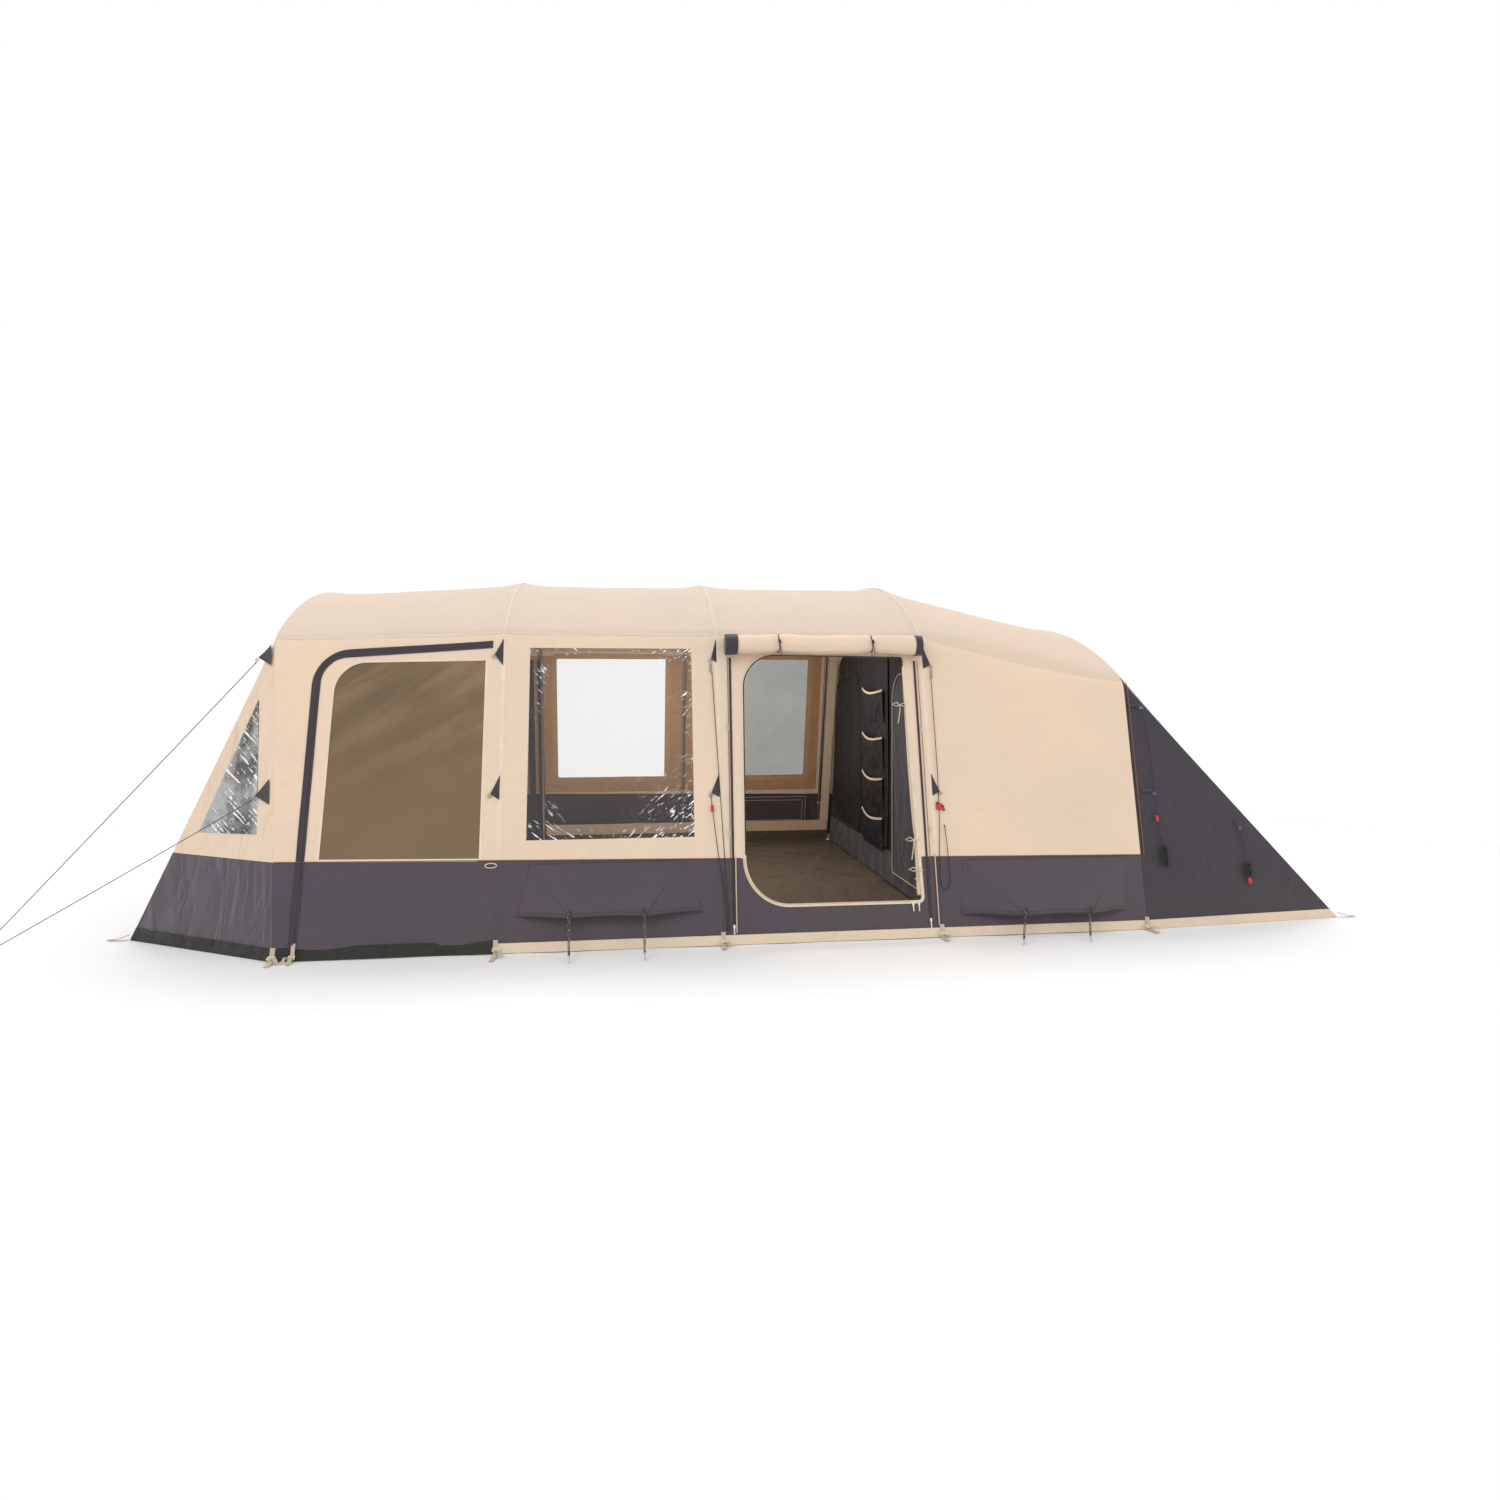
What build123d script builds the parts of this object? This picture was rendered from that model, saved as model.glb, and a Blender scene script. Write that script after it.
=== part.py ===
from build123d import *
import os
from math import hypot, radians, sqrt, tan

# Tunnel tent: five metal hoops under a cloth shell, with a front porch end, a side door,
# a sleeping cabin and a sloping rear end.
# X runs from the front (-) to the rear (+), the door side faces -Y, Z is up. The origin is
# on the ground under the middle of the tent. Everything is in millimetres.

# ---- driving dimensions ------------------------------------------------------------
FOOT_HALF = 1700            # wall foot to the centre line
LEAN = 400 / 1700           # inward lean of the walls, per unit of height
SLOPE = hypot(1, LEAN)      # length along a wall, per unit of height
CLOTH = 3                   # thickness of every cloth solid
SEAM = 0.5                  # each cloth stops this far short of its seam line
HEM = 50                    # height of the mud skirt
BAND_FRONT = 484            # top of the dark band at the front hoop
BAND_REAR = 412             # and at the rear hoop

# one row per hoop, front to rear: foot x, tilt along x, shoulder height, ridge height
HOOPS = [
    (-2560, -0.070, 1660, 2020),
    (-1460, 0.000, 1700, 2100),
    (-262, 0.000, 1700, 2100),
    (965, 0.000, 1700, 2100),
    (2190, 0.025, 1432, 1810),
]
POLE_R = 12.5               # outer radius of a hoop tube
POLE_WALL = 1.2             # its wall
POLE_INSET = 20             # tube centre inside the cloth
ELBOW_R = 150               # bend at the shoulder
CROWN_SECTIONS = 4
JOINT_GAP = 1               # seam between two tube sections
FOOT_R = 17
FOOT_HEIGHT = 30
POLE_START = FOOT_HEIGHT + POLE_R * LEAN + 1  # the leaning tube's end clears its foot

FRONT_X = -3480             # bottom edge of the front end
FRONT_HALF = 1150
REAR_X = 3480               # bottom edge of the rear end
REAR_HALF = 1590

STRAP_REACH_X = 3600        # outer end of the corner straps
STRAP_REACH_Y = 1850        # outer end of the hoop straps
STRAP_WIDTH = 25
STRAP_THICK = 2
EYELET_R = 6

CORD_R = 2                  # guy rope
BUNGEE_R = 2.5
ON_WALL = 11                # centre of a rope that lies on the wall, above the wall plane
RING_R = 9
RING_WIRE = 1.6
NEAR, FAR = -1, 1

os.makedirs("parts", exist_ok=True)


# ---- helpers -----------------------------------------------------------------------
def save(piece, name):
    """Label a finished piece and write it."""
    piece.part.label = name
    export_step(piece.part, f"parts/{name}.step")


def hoop_x(hoop, z):
    """Distance along the tent of a hoop's seam line at a height."""
    foot, tilt, _, _ = HOOPS[hoop]
    return foot + tilt * z


def wall_y(z):
    """Half width of the tent's walls at a height."""
    return FOOT_HALF - LEAN * z


def band_z(x):
    """Height of the dark band's top edge."""
    first, last = HOOPS[0][0], HOOPS[-1][0]
    return BAND_FRONT + (BAND_REAR - BAND_FRONT) * (x - first) / (last - first)


def between(top, bottom, z):
    """Point at height z on the straight edge from top to bottom."""
    share = (top[2] - z) / (top[2] - bottom[2])
    return tuple(t + (b - t) * share for t, b in zip(top, bottom))


def wall_plane(side, lift=0):
    """Plane of a side wall, its normal outward and its y axis up the wall."""
    plane = Plane(origin=(0, side * FOOT_HALF, 0), x_dir=(-side, 0, 0), z_dir=(0, side, LEAN))
    return plane.offset(lift)


def wall_xy(side, x, z):
    """Place on a side wall as the wall plane's own coordinates."""
    return (-side * x, z * SLOPE)


def on_wall(side, x, z, lift):
    """Point above a side wall at a height measured on the wall plane."""
    return wall_plane(side, lift).from_local_coords(Vector(*wall_xy(side, x, z), 0))


def plane_through(corners, outward):
    """Plane through the first three corners, its normal on the outward side."""
    a, b, c = (Vector(*corner) for corner in corners[:3])
    normal = (b - a).cross(c - a)
    if normal.dot(Vector(*outward)) < 0:
        normal = normal * -1
    return Plane(origin=a, x_dir=b - a, z_dir=normal)


def on_plane(plane, points):
    """The points as the plane's own coordinates."""
    local = [plane.to_local_coords(Vector(*point)) for point in points]
    return [(p.X, p.Y) for p in local]


def flat_outline(corners, outward, window=None):
    """Outline of a flat cloth through its corners, pulled in by the seam."""
    plane = plane_through(corners, outward)
    with BuildSketch(plane, mode=Mode.PRIVATE) as outline:
        with BuildLine():
            Polyline(*on_plane(plane, corners), close=True)
        make_face()
        offset(amount=-SEAM, kind=Kind.INTERSECTION, mode=Mode.REPLACE)
        if window:
            with BuildLine():
                Polyline(*on_plane(plane, window), close=True)
            make_face(mode=Mode.SUBTRACT)
    return outline.sketch


def wall_outline(side, corners, openings=()):
    """Outline of a cloth in a side wall: corners are (x, z), openings (points, radii)."""
    with BuildSketch(wall_plane(side), mode=Mode.PRIVATE) as outline:
        with BuildLine():
            Polyline(*[wall_xy(side, x, z) for x, z in corners], close=True)
        make_face()
        offset(amount=-SEAM, kind=Kind.INTERSECTION, mode=Mode.REPLACE)
        for points, radii in openings:
            with BuildLine():
                FilletPolyline(*[wall_xy(side, x, z) for x, z in points], radius=radii, close=True)
            make_face(mode=Mode.SUBTRACT)
    return outline.sketch


def pane_outline(side, opening, lift):
    """Outline of a pane that fills an opening in a side wall."""
    points, radii = opening
    with BuildSketch(wall_plane(side, lift), mode=Mode.PRIVATE) as outline:
        with BuildLine():
            FilletPolyline(*[wall_xy(side, x, z) for x, z in points], radius=radii, close=True)
        make_face()
        offset(amount=-SEAM, kind=Kind.INTERSECTION, mode=Mode.REPLACE)
    return outline.sketch


def cloth(name, outlines, thickness=CLOTH):
    """One node of flat cloths, each its own solid."""
    with BuildPart() as piece:
        for outline in outlines:
            extrude(outline, amount=thickness)
    save(piece, name)


def rectangle(x0, x1, z0, z1, radius=0):
    """A wall opening with equal corners."""
    return ([(x0, z0), (x1, z0), (x1, z1), (x0, z1)], [radius] * 4)


def mirrored(corners):
    """The same corners on the other side of the tent."""
    return [(x, -y, z) for x, y, z in corners]


# ---- hoops -------------------------------------------------------------------------
def hoop_plane(hoop, shift=0):
    """Plane of a hoop: its x axis is the tent's Y, its y axis runs up the hoop."""
    foot, tilt, _, _ = HOOPS[hoop]
    return Plane(origin=(foot + shift, 0, 0), x_dir=(0, 1, 0), z_dir=(1, 0, -tilt))


def crown(hoop):
    """Shoulder half width and height, ridge height and radius, all in the hoop's plane."""
    _, tilt, shoulder, ridge = HOOPS[hoop]
    stretch = hypot(1, tilt)
    half = wall_y(shoulder)
    rise = (ridge - shoulder) * stretch
    radius = (half ** 2 + rise ** 2) / (2 * rise)
    return half, shoulder * stretch, ridge * stretch, radius


def pole_path(hoop):
    """Edges of a hoop's centre line, from the far foot over the ridge to the near foot."""
    _, _, ridge, radius = crown(hoop)
    centre = ridge - radius
    inner = radius - POLE_INSET
    lean = LEAN / hypot(1, HOOPS[hoop][1])
    start = FOOT_HALF - POLE_INSET * hypot(1, lean)
    half_b = start * lean + centre
    square = 1 + lean ** 2
    corner = (half_b + sqrt(half_b ** 2 - square * (start ** 2 + centre ** 2 - inner ** 2))) / square
    knee = (start - lean * corner, corner)
    foot = (start - lean * POLE_START, POLE_START)
    with BuildLine(hoop_plane(hoop, HOOP_SHIFT[hoop])) as path:
        Line((-foot[0], foot[1]), (-knee[0], knee[1]))
        ThreePointArc((-knee[0], knee[1]), (0, ridge - POLE_INSET), knee)
        Line(knee, foot)
        fillet([v for v in path.vertices() if v.Z > 2 * FOOT_HEIGHT], ELBOW_R)
    return path.edges().sort_by(Axis.Y)


def tube_section(edge):
    """Ring-shaped section of the hoop tube at the start of an edge."""
    with BuildSketch(Plane(origin=edge @ 0, z_dir=edge % 0), mode=Mode.PRIVATE) as section:
        Circle(POLE_R)
        Circle(POLE_R - POLE_WALL, mode=Mode.SUBTRACT)
    return section.sketch


# the end hoops stand a little inside their seams, clear of the sloping ends
HOOP_SHIFT = [28, 0, 0, 0, -28]

for hoop in range(len(HOOPS)):
    leg_a, elbow_a, bow, elbow_b, leg_b = pole_path(hoop)
    bow_parts = [
        bow.trim(i / CROWN_SECTIONS, (i + 1) / CROWN_SECTIONS) for i in range(CROWN_SECTIONS)
    ]
    with BuildPart() as hoop_poles:
        for edge in [leg_a, elbow_a, *bow_parts, elbow_b, leg_b]:
            gap = JOINT_GAP / 2 / edge.length
            run = edge.trim(gap, 1 - gap)
            sweep(tube_section(run), path=run)
    save(hoop_poles, f"hoop_{hoop + 1}")

with BuildPart() as pole_feet:
    for hoop, (foot_x, _, _, _) in enumerate(HOOPS):
        for side in (NEAR, FAR):
            centre = side * (wall_y(FOOT_HEIGHT) - POLE_INSET * SLOPE)
            with BuildSketch(Plane((foot_x + HOOP_SHIFT[hoop], centre, 0))):
                Circle(FOOT_R)
            extrude(amount=FOOT_HEIGHT)
    fillet(pole_feet.edges().group_by(Axis.Z)[0], 3)
save(pole_feet, "pole_feet")


# ---- roof --------------------------------------------------------------------------
def roof_profile(hoop, shift):
    """Thin arch of roof cloth in a hoop's plane."""
    half, shoulder, ridge, radius = crown(hoop)
    centre = ridge - radius
    grow = (radius + CLOTH) / radius
    outer_half = half * grow
    outer_shoulder = centre + (shoulder - centre) * grow
    with BuildSketch(hoop_plane(hoop, shift), mode=Mode.PRIVATE) as profile:
        with BuildLine():
            ThreePointArc((-half, shoulder), (0, ridge), (half, shoulder))
            Line((half, shoulder), (outer_half, outer_shoulder))
            ThreePointArc(
                (outer_half, outer_shoulder), (0, ridge + CLOTH), (-outer_half, outer_shoulder)
            )
            Line((-outer_half, outer_shoulder), (-half, shoulder))
        make_face()
    return profile.sketch


def end_surface(hoop, shift, corner):
    """Ruled surface from a hoop's crown down to the straight edge through a corner."""
    half, shoulder, ridge, _ = crown(hoop)
    x, y, z = corner
    with BuildLine(hoop_plane(hoop, shift), mode=Mode.PRIVATE) as top:
        ThreePointArc((-half, shoulder), (0, ridge), (half, shoulder))
    with BuildLine(mode=Mode.PRIVATE) as bottom:
        Line((x, y, z), (x, -y, z))
    return Face.make_surface_from_curves(top.edges()[0], bottom.edges()[0])


for bay in range(4):
    with BuildPart() as roof:
        loft([roof_profile(bay, SEAM), roof_profile(bay + 1, -SEAM)], ruled=True)
    save(roof, f"roof_{bay + 1}")


# ---- side walls --------------------------------------------------------------------
def bay_corners(bay, low, high):
    """Corners of one bay of wall between two height functions of x."""
    front, rear = HOOPS[bay][0], HOOPS[bay + 1][0]
    heights = [(bay, low(front)), (bay + 1, low(rear)), (bay + 1, high(rear)), (bay, high(front))]
    return [(hoop_x(hoop, z), z) for hoop, z in heights]


def shoulder_z(x):
    """Height of the shoulder seam over a hoop foot."""
    return next(row[2] for row in HOOPS if row[0] == x)


def upper_wall(side, bay, openings=()):
    return wall_outline(side, bay_corners(bay, band_z, shoulder_z), openings)


def band(side, bay, openings=()):
    return wall_outline(side, bay_corners(bay, lambda x: HEM, band_z), openings)


def skirt(side, bay):
    return wall_outline(side, bay_corners(bay, lambda x: 0, lambda x: HEM))


MESH = ([(-2371, 492), (-1559, 478), (-1557, 1542), (-2352, 1525)], [0, 0, 0, 165])
WINDOW_NEAR = rectangle(-1316, -408, 567, 1615)
WINDOWS_FAR = [rectangle(-1340, -420, 604, 1633), rectangle(-105, 815, 604, 1633)]
DOORWAY = ([(-132, 200), (862, 196), (842, 1568), (-108, 1579)], [240, 20, 15, 190])

cloth("wall_near_1", [upper_wall(NEAR, 0, [MESH])])
cloth("wall_near_2", [upper_wall(NEAR, 1, [WINDOW_NEAR])])
cloth("wall_near_3", [upper_wall(NEAR, 2, [DOORWAY])])
cloth("wall_near_4", [upper_wall(NEAR, 3)])
cloth(
    "walls_far",
    [
        upper_wall(FAR, 0),
        upper_wall(FAR, 1, [WINDOWS_FAR[0]]),
        upper_wall(FAR, 2, [WINDOWS_FAR[1]]),
        upper_wall(FAR, 3),
    ],
)
cloth("band_door", [band(NEAR, 2, [DOORWAY])])
cloth(
    "band_walls",
    [band(NEAR, 0), band(NEAR, 1), band(NEAR, 3)] + [band(FAR, bay) for bay in range(4)],
)
cloth("mesh_screen", [pane_outline(NEAR, MESH, 1)], thickness=1)
cloth("windows_far", [pane_outline(FAR, opening, 1) for opening in WINDOWS_FAR], thickness=1)

# ---- front end ---------------------------------------------------------------------
FRONT_SHOULDER = (hoop_x(0, HOOPS[0][2]), -wall_y(HOOPS[0][2]), HOOPS[0][2])
FRONT_CORNER = (FRONT_X, -FRONT_HALF, 0)
FRONT_OUT = (-1, -1, 0)


def front_foot(z):
    return (hoop_x(0, z), -wall_y(z), z)


def front_edge(z):
    return between(FRONT_SHOULDER, FRONT_CORNER, z)


def front_strip(low, high):
    """Corners of the front end between two heights: near gusset, far gusset, front."""
    gusset = [front_foot(low), front_foot(high), front_edge(high), front_edge(low)]
    face = [front_edge(low), front_edge(high)]
    return gusset, mirrored(gusset), face + mirrored(face)[::-1]


def wrap_outlines(strips, end):
    """Outlines of a strip that wraps round one end of the tent."""
    near, far, face = strips
    return [
        flat_outline(near, (end, -1, 0)),
        flat_outline(far, (end, 1, 0)),
        flat_outline(face, (end, 0, 0)),
    ]


gusset = [front_foot(BAND_FRONT), FRONT_SHOULDER, front_edge(BAND_FRONT)]
gusset_window = [(-2759, -1317, 1324), (-3086, -1265, 603), (-2708, -1489, 617)]

with BuildPart() as front_end:
    thicken(
        end_surface(0, -SEAM, front_edge(BAND_FRONT + SEAM)), CLOTH, normal_override=(-1, 0, 0)
    )
    extrude(flat_outline(gusset, FRONT_OUT, gusset_window), amount=CLOTH)
    extrude(flat_outline(mirrored(gusset), (-1, 1, 0), mirrored(gusset_window)), amount=CLOTH)
save(front_end, "front_end")
cloth("front_band", wrap_outlines(front_strip(HEM, BAND_FRONT), -1))
cloth("front_skirt", wrap_outlines(front_strip(0, HEM), -1) + [skirt(NEAR, 0), skirt(FAR, 0)])

with BuildPart() as windows_near:
    extrude(pane_outline(NEAR, WINDOW_NEAR, 1), amount=1)
    for corners, outward in [(gusset_window, FRONT_OUT), (mirrored(gusset_window), (-1, 1, 0))]:
        extrude(flat_outline(corners, outward), amount=1)
save(windows_near, "windows_near")

# ---- rear end ----------------------------------------------------------------------
REAR_SHOULDER = (hoop_x(4, HOOPS[4][2]), -wall_y(HOOPS[4][2]), HOOPS[4][2])
REAR_CORNER = (REAR_X, -REAR_HALF, 0)
REAR_OUT = (1, -1, 0)


def rear_foot(z):
    return (hoop_x(4, z), -wall_y(z), z)


def rear_edge(z):
    return between(REAR_SHOULDER, REAR_CORNER, z)


rear_gusset = [rear_foot(HEM), REAR_SHOULDER, rear_edge(HEM)]
with BuildPart() as rear_end:
    thicken(end_surface(4, SEAM, rear_edge(HEM + SEAM)), CLOTH, normal_override=(1, 0, 0))
    extrude(flat_outline(rear_gusset, REAR_OUT), amount=CLOTH)
    extrude(flat_outline(mirrored(rear_gusset), (1, 1, 0)), amount=CLOTH)
save(rear_end, "rear_end")

rear_skirt = [rear_foot(0), rear_foot(HEM), rear_edge(HEM), rear_edge(0)]
rear_face = [rear_edge(0), rear_edge(HEM)]
rear_strips = (rear_skirt, mirrored(rear_skirt), rear_face + mirrored(rear_face)[::-1])
cloth(
    "mud_skirt",
    wrap_outlines(rear_strips, 1) + [skirt(side, bay) for side in (NEAR, FAR) for bay in (1, 2, 3)],
)

# ---- trim on the near wall ---------------------------------------------------------
TRIM_LIFT = CLOTH + SEAM
ZIP_LEFT = [(-202, 60), (-186, 1560)]
ZIP_RIGHT = [(903, 60), (914, 1545)]
ZIP_WIDTH = 12
ZIP_THICK = 1.5


def raised_strip(points, radii, lift, thickness):
    """A closed flat shape that lies on the near wall."""
    with BuildPart() as strip:
        with BuildSketch(wall_plane(NEAR, lift)):
            with BuildLine():
                FilletPolyline(*[wall_xy(NEAR, x, z) for x, z in points], radius=radii, close=True)
            make_face()
        extrude(amount=thickness)
    return strip


arch_cover = raised_strip(
    [(-2500, 55), (-2476, 1597), (-1545, 1662), (-1545, 1602), (-2414, 1534), (-2438, 55)],
    [0, 200, 0, 0, 140, 0],
    TRIM_LIFT,
    CLOTH,
)
save(arch_cover, "arch_zip_cover")

with BuildPart() as cover_zips:
    for (x0, z0), (x1, z1) in (ZIP_LEFT, ZIP_RIGHT):
        half = ZIP_WIDTH / 2
        with BuildSketch(wall_plane(NEAR, TRIM_LIFT)):
            with BuildLine():
                Polyline(
                    wall_xy(NEAR, x0 - half, z0),
                    wall_xy(NEAR, x0 + half, z0),
                    wall_xy(NEAR, x1 + half, z1),
                    wall_xy(NEAR, x1 - half, z1),
                    close=True,
                )
            make_face()
        extrude(amount=ZIP_THICK)
save(cover_zips, "cover_zips")

# rolled door cover under the shoulder seam, with bound ends
ROLL_R = 58
ROLL_AT = on_wall(NEAR, 0, 1628, CLOTH + 1 + ROLL_R)
ROLL_SPANS = [(-150, 905)]
ROLL_ENDS = [(-218, -150.5), (905.5, 943)]


def roll(name, spans):
    """Lengths of the rolled cover along the tent."""
    with BuildPart() as piece:
        for start, stop in spans:
            with BuildSketch(Plane(origin=(start, ROLL_AT.Y, ROLL_AT.Z), z_dir=(1, 0, 0))):
                Circle(ROLL_R)
            extrude(amount=stop - start)
    save(piece, name)


roll("door_cover_roll", ROLL_SPANS)
roll("door_cover_roll_ends", ROLL_ENDS)

# inner door leaf, rolled up along the rear edge of the doorway
LEAF_R = 22
LEAF_X = 868
leaf_foot = on_wall(NEAR, LEAF_X, 225, -LEAF_R - 4)
with BuildPart() as leaf_roll:
    with BuildSketch(Plane(origin=leaf_foot, z_dir=(0, LEAN, 1))):
        Circle(LEAF_R)
    extrude(amount=1310 * SLOPE)
save(leaf_roll, "door_leaf_roll")

# ---- vent flaps --------------------------------------------------------------------
FLARE = 12                  # degrees that a flap stands off the wall
FLAP_LIFT = CLOTH + 4
# bay number, height of the hinge seam, drop, x of the top corners, x of the bottom corners
FLAPS = {
    2: (440, 262, (-1290, -480), (-1350, -372)),
    4: (404, 290, (1120, 2090), (1085, 2060)),
}
# ends of the elastic cords: x on the flap's edge, x and y of the peg on the ground
BUNGEES = {
    2: [(-1078, -1068, -1950), (-682, -690, -1950)],
    4: [(1440, 1335, -1940), (1822, 1725, -1925)],
}
PEG_R = 3
PEG_LENGTH = 45


def flap_plane(bay):
    """Plane of a vent flap: y axis down the flap from its hinge seam, normal outward."""
    hinge = on_wall(NEAR, 0, FLAPS[bay][0], FLAP_LIFT)
    down = Vector(0, -LEAN, -1).rotate(Axis.X, -FLARE)
    return Plane(origin=hinge, x_dir=(-1, 0, 0), z_dir=Vector(-1, 0, 0).cross(down))


for bay, (_, drop, top, bottom) in FLAPS.items():
    with BuildPart() as flap:
        with BuildSketch(flap_plane(bay)):
            with BuildLine():
                Polyline(
                    (-top[0], 0), (-top[1], 0), (-bottom[1], drop), (-bottom[0], drop), close=True
                )
            make_face()
        extrude(amount=CLOTH)
    save(flap, f"vent_flap_{bay}")

for bay, cords in BUNGEES.items():
    drop = FLAPS[bay][1]
    pegs = []
    for number, (edge_x, peg_x, peg_y) in enumerate(cords, 1):
        top_end = flap_plane(bay).from_local_coords(Vector(-edge_x, drop + 1.5 + BUNGEE_R, CLOTH / 2))
        tip = Vector(peg_x, peg_y, PEG_R + 1)
        along = (tip - top_end).normalized()
        low_end = tip - along * PEG_LENGTH
        pegs.append((low_end, along))
        with BuildPart() as bungee:
            with BuildSketch(Plane(origin=top_end, z_dir=along)):
                Circle(BUNGEE_R)
            extrude(amount=(low_end - top_end).length)
        save(bungee, f"bungee_{bay}_{number}")
        print("bungee", bay, number, top_end, low_end, "length", (low_end - top_end).length)
    with BuildPart() as vent_pegs:
        for low_end, along in pegs:
            with BuildSketch(Plane(origin=low_end, z_dir=along)):
                Circle(PEG_R)
            extrude(amount=PEG_LENGTH)
    save(vent_pegs, f"vent_pegs_{bay}")

# ---- guy points --------------------------------------------------------------------
PATCH = 2                   # thickness of a guy patch
RING_LIFT = 7.3             # centre of a ring above the cloth, clear of the patches
# hoop seam x, top and bottom of the patch, height of its pulled tip, reach of the tip
WALL_PATCHES = [
    (-1462, 1664, 1512, 1572, -46),
    (-1462, 912, 782, 812, -48),
    (-264, 1672, 1534, 1552, -32),
    (-264, 908, 778, 800, -46),
    (967, 1650, 1500, 1520, 44),
    (967, 892, 766, 790, 42),
]
# patches on the front gusset: corners as (x, z), the last one is the pulled tip
FRONT_PATCHES = [
    [(-2694, 1622), (-2688, 1510), (-2766, 1551)],
    [(-2650, 905), (-2642, 775), (-2726, 815)],
]
FRONT_RINGS = [(-2777, 1538), (-2737, 802)]
REAR_RINGS = [(2322, 1261), (2339, 757), (2890, 540)]
# webbing tabs on the rear gusset: left end, right end, height
REAR_TABS = [(2236, 2312, 1280), (2262, 2326, 776), (2862, 2906, 566)]
TAB_WIDTH = 16
# flat links below the upper rings of the two door hoops: x and z of the middle
LINKS = [(-299, 1499), (1013, 1468)]

front_side = plane_through([front_foot(0), FRONT_CORNER, FRONT_SHOULDER], FRONT_OUT)
rear_side = plane_through([rear_foot(0), REAR_CORNER, REAR_SHOULDER], REAR_OUT)
near_wall = wall_plane(NEAR)


def on_slope(plane, x, z, lift):
    """Point over a sloping cloth: x and z are measured on the cloth itself."""
    normal, start = plane.z_dir, plane.origin
    y = start.Y - (normal.X * (x - start.X) + normal.Z * (z - start.Z)) / normal.Y
    return Vector(x, y, z) + normal * lift


def flat_shape(plane, points, lift):
    """Outline through (x, z) points of a sloping cloth, lifted off it."""
    raised = plane.offset(lift)
    corners = [on_slope(plane, x, z, lift) for x, z in points]
    with BuildSketch(raised, mode=Mode.PRIVATE) as outline:
        with BuildLine():
            Polyline(*on_plane(raised, corners), close=True)
        make_face()
    return outline.sketch


patch_outlines = [
    flat_shape(near_wall, [(x, bottom), (x, top), (x + reach, tip)], TRIM_LIFT)
    for x, top, bottom, tip, reach in WALL_PATCHES
]
patch_outlines += [flat_shape(front_side, points, TRIM_LIFT) for points in FRONT_PATCHES]
for left, right, z in REAR_TABS:
    low, high = z - TAB_WIDTH / 2, z + TAB_WIDTH / 2
    corners = [(left, low), (right, low), (right, high), (left, high)]
    patch_outlines.append(flat_shape(rear_side, corners, TRIM_LIFT))
with BuildPart() as guy_patches:
    for outline in patch_outlines:
        extrude(outline, amount=PATCH)
    mirror(about=Plane.XZ)
save(guy_patches, "guy_patches")

ring_places = [
    (near_wall, x + reach + (4 if reach > 0 else -4), tip - 11)
    for x, _, _, tip, reach in WALL_PATCHES
]
ring_places += [(front_side, x, z) for x, z in FRONT_RINGS]
ring_places += [(rear_side, x, z) for x, z in REAR_RINGS]
with BuildPart() as guy_rings:
    for plane, x, z in ring_places:
        centre = on_slope(plane, x, z, RING_LIFT)
        with BuildSketch(Plane(origin=centre, x_dir=plane.x_dir, z_dir=plane.z_dir).offset(-RING_WIRE)):
            Circle(RING_R + RING_WIRE)
            Circle(RING_R - RING_WIRE, mode=Mode.SUBTRACT)
        extrude(amount=2 * RING_WIRE)
    for x, z in LINKS:
        centre = on_slope(near_wall, x, z, RING_LIFT)
        with BuildSketch(Plane(origin=centre, x_dir=(1, 0, 0), z_dir=near_wall.z_dir)):
            SlotOverall(52, 14, rotation=90)
            SlotOverall(44, 6, rotation=90, mode=Mode.SUBTRACT)
        extrude(amount=3)
save(guy_rings, "guy_rings")


# ---- guy ropes ---------------------------------------------------------------------
def rope(name, points, radius):
    """Tube through a list of points, each corner as round as its two runs allow."""
    runs = [(b - a).length for a, b in zip(points, points[1:])]
    bends = []
    for before, here, after, run_in, run_out in zip(points, points[1:], points[2:], runs, runs[1:]):
        turn = (here - before).get_angle(after - here)
        bends.append(0.45 * min(run_in, run_out) / tan(radians(turn / 2)))
    with BuildPart() as cord:
        with BuildLine() as path:
            if bends:
                FilletPolyline(*points, radius=bends)
            else:
                Line(*points)
        route = path.wires()[0]
        with BuildSketch(Plane(origin=route @ 0, z_dir=route % 0)):
            Circle(radius)
        sweep(path=route)
    save(cord, name)
    print(name, "length", round(route.length))


# hanging ropes, as (x, z) on the cloth that they lie on
HOOP3_UPPER = [(-292, 1462), (-229, 78)]
HOOP3_LOWER = [(-313, 775), (-278, 427), (-254, 335), (-241, 78)]
HOOP4 = [
    (1008, 1436), (1006, 1002), (1002, 810), (996, 650), (986, 520), (976, 400), (971, 330),
    (972, 286), (978, 264), (992, 252), (1009, 252), (1023, 264), (1029, 288), (1031, 340),
    (1030, 430), (1027, 520), (1022, 598),
]
REAR_UPPER = [(2324, 1246), (2337, 1061), (2342, 872), (2331, 570), (2338, 520), (2350, 480)]
REAR_LOWER = [(2892, 522), (2896, 358)]
for name, cloth_plane, route in [
    ("guy_hoop3_upper", near_wall, HOOP3_UPPER),
    ("guy_hoop3_lower", near_wall, HOOP3_LOWER),
    ("guy_hoop4", near_wall, HOOP4),
    ("guy_rear_upper", rear_side, REAR_UPPER),
    ("guy_rear_lower", rear_side, REAR_LOWER),
]:
    rope(name, [on_slope(cloth_plane, x, z, ON_WALL) for x, z in route], CORD_R)

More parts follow.
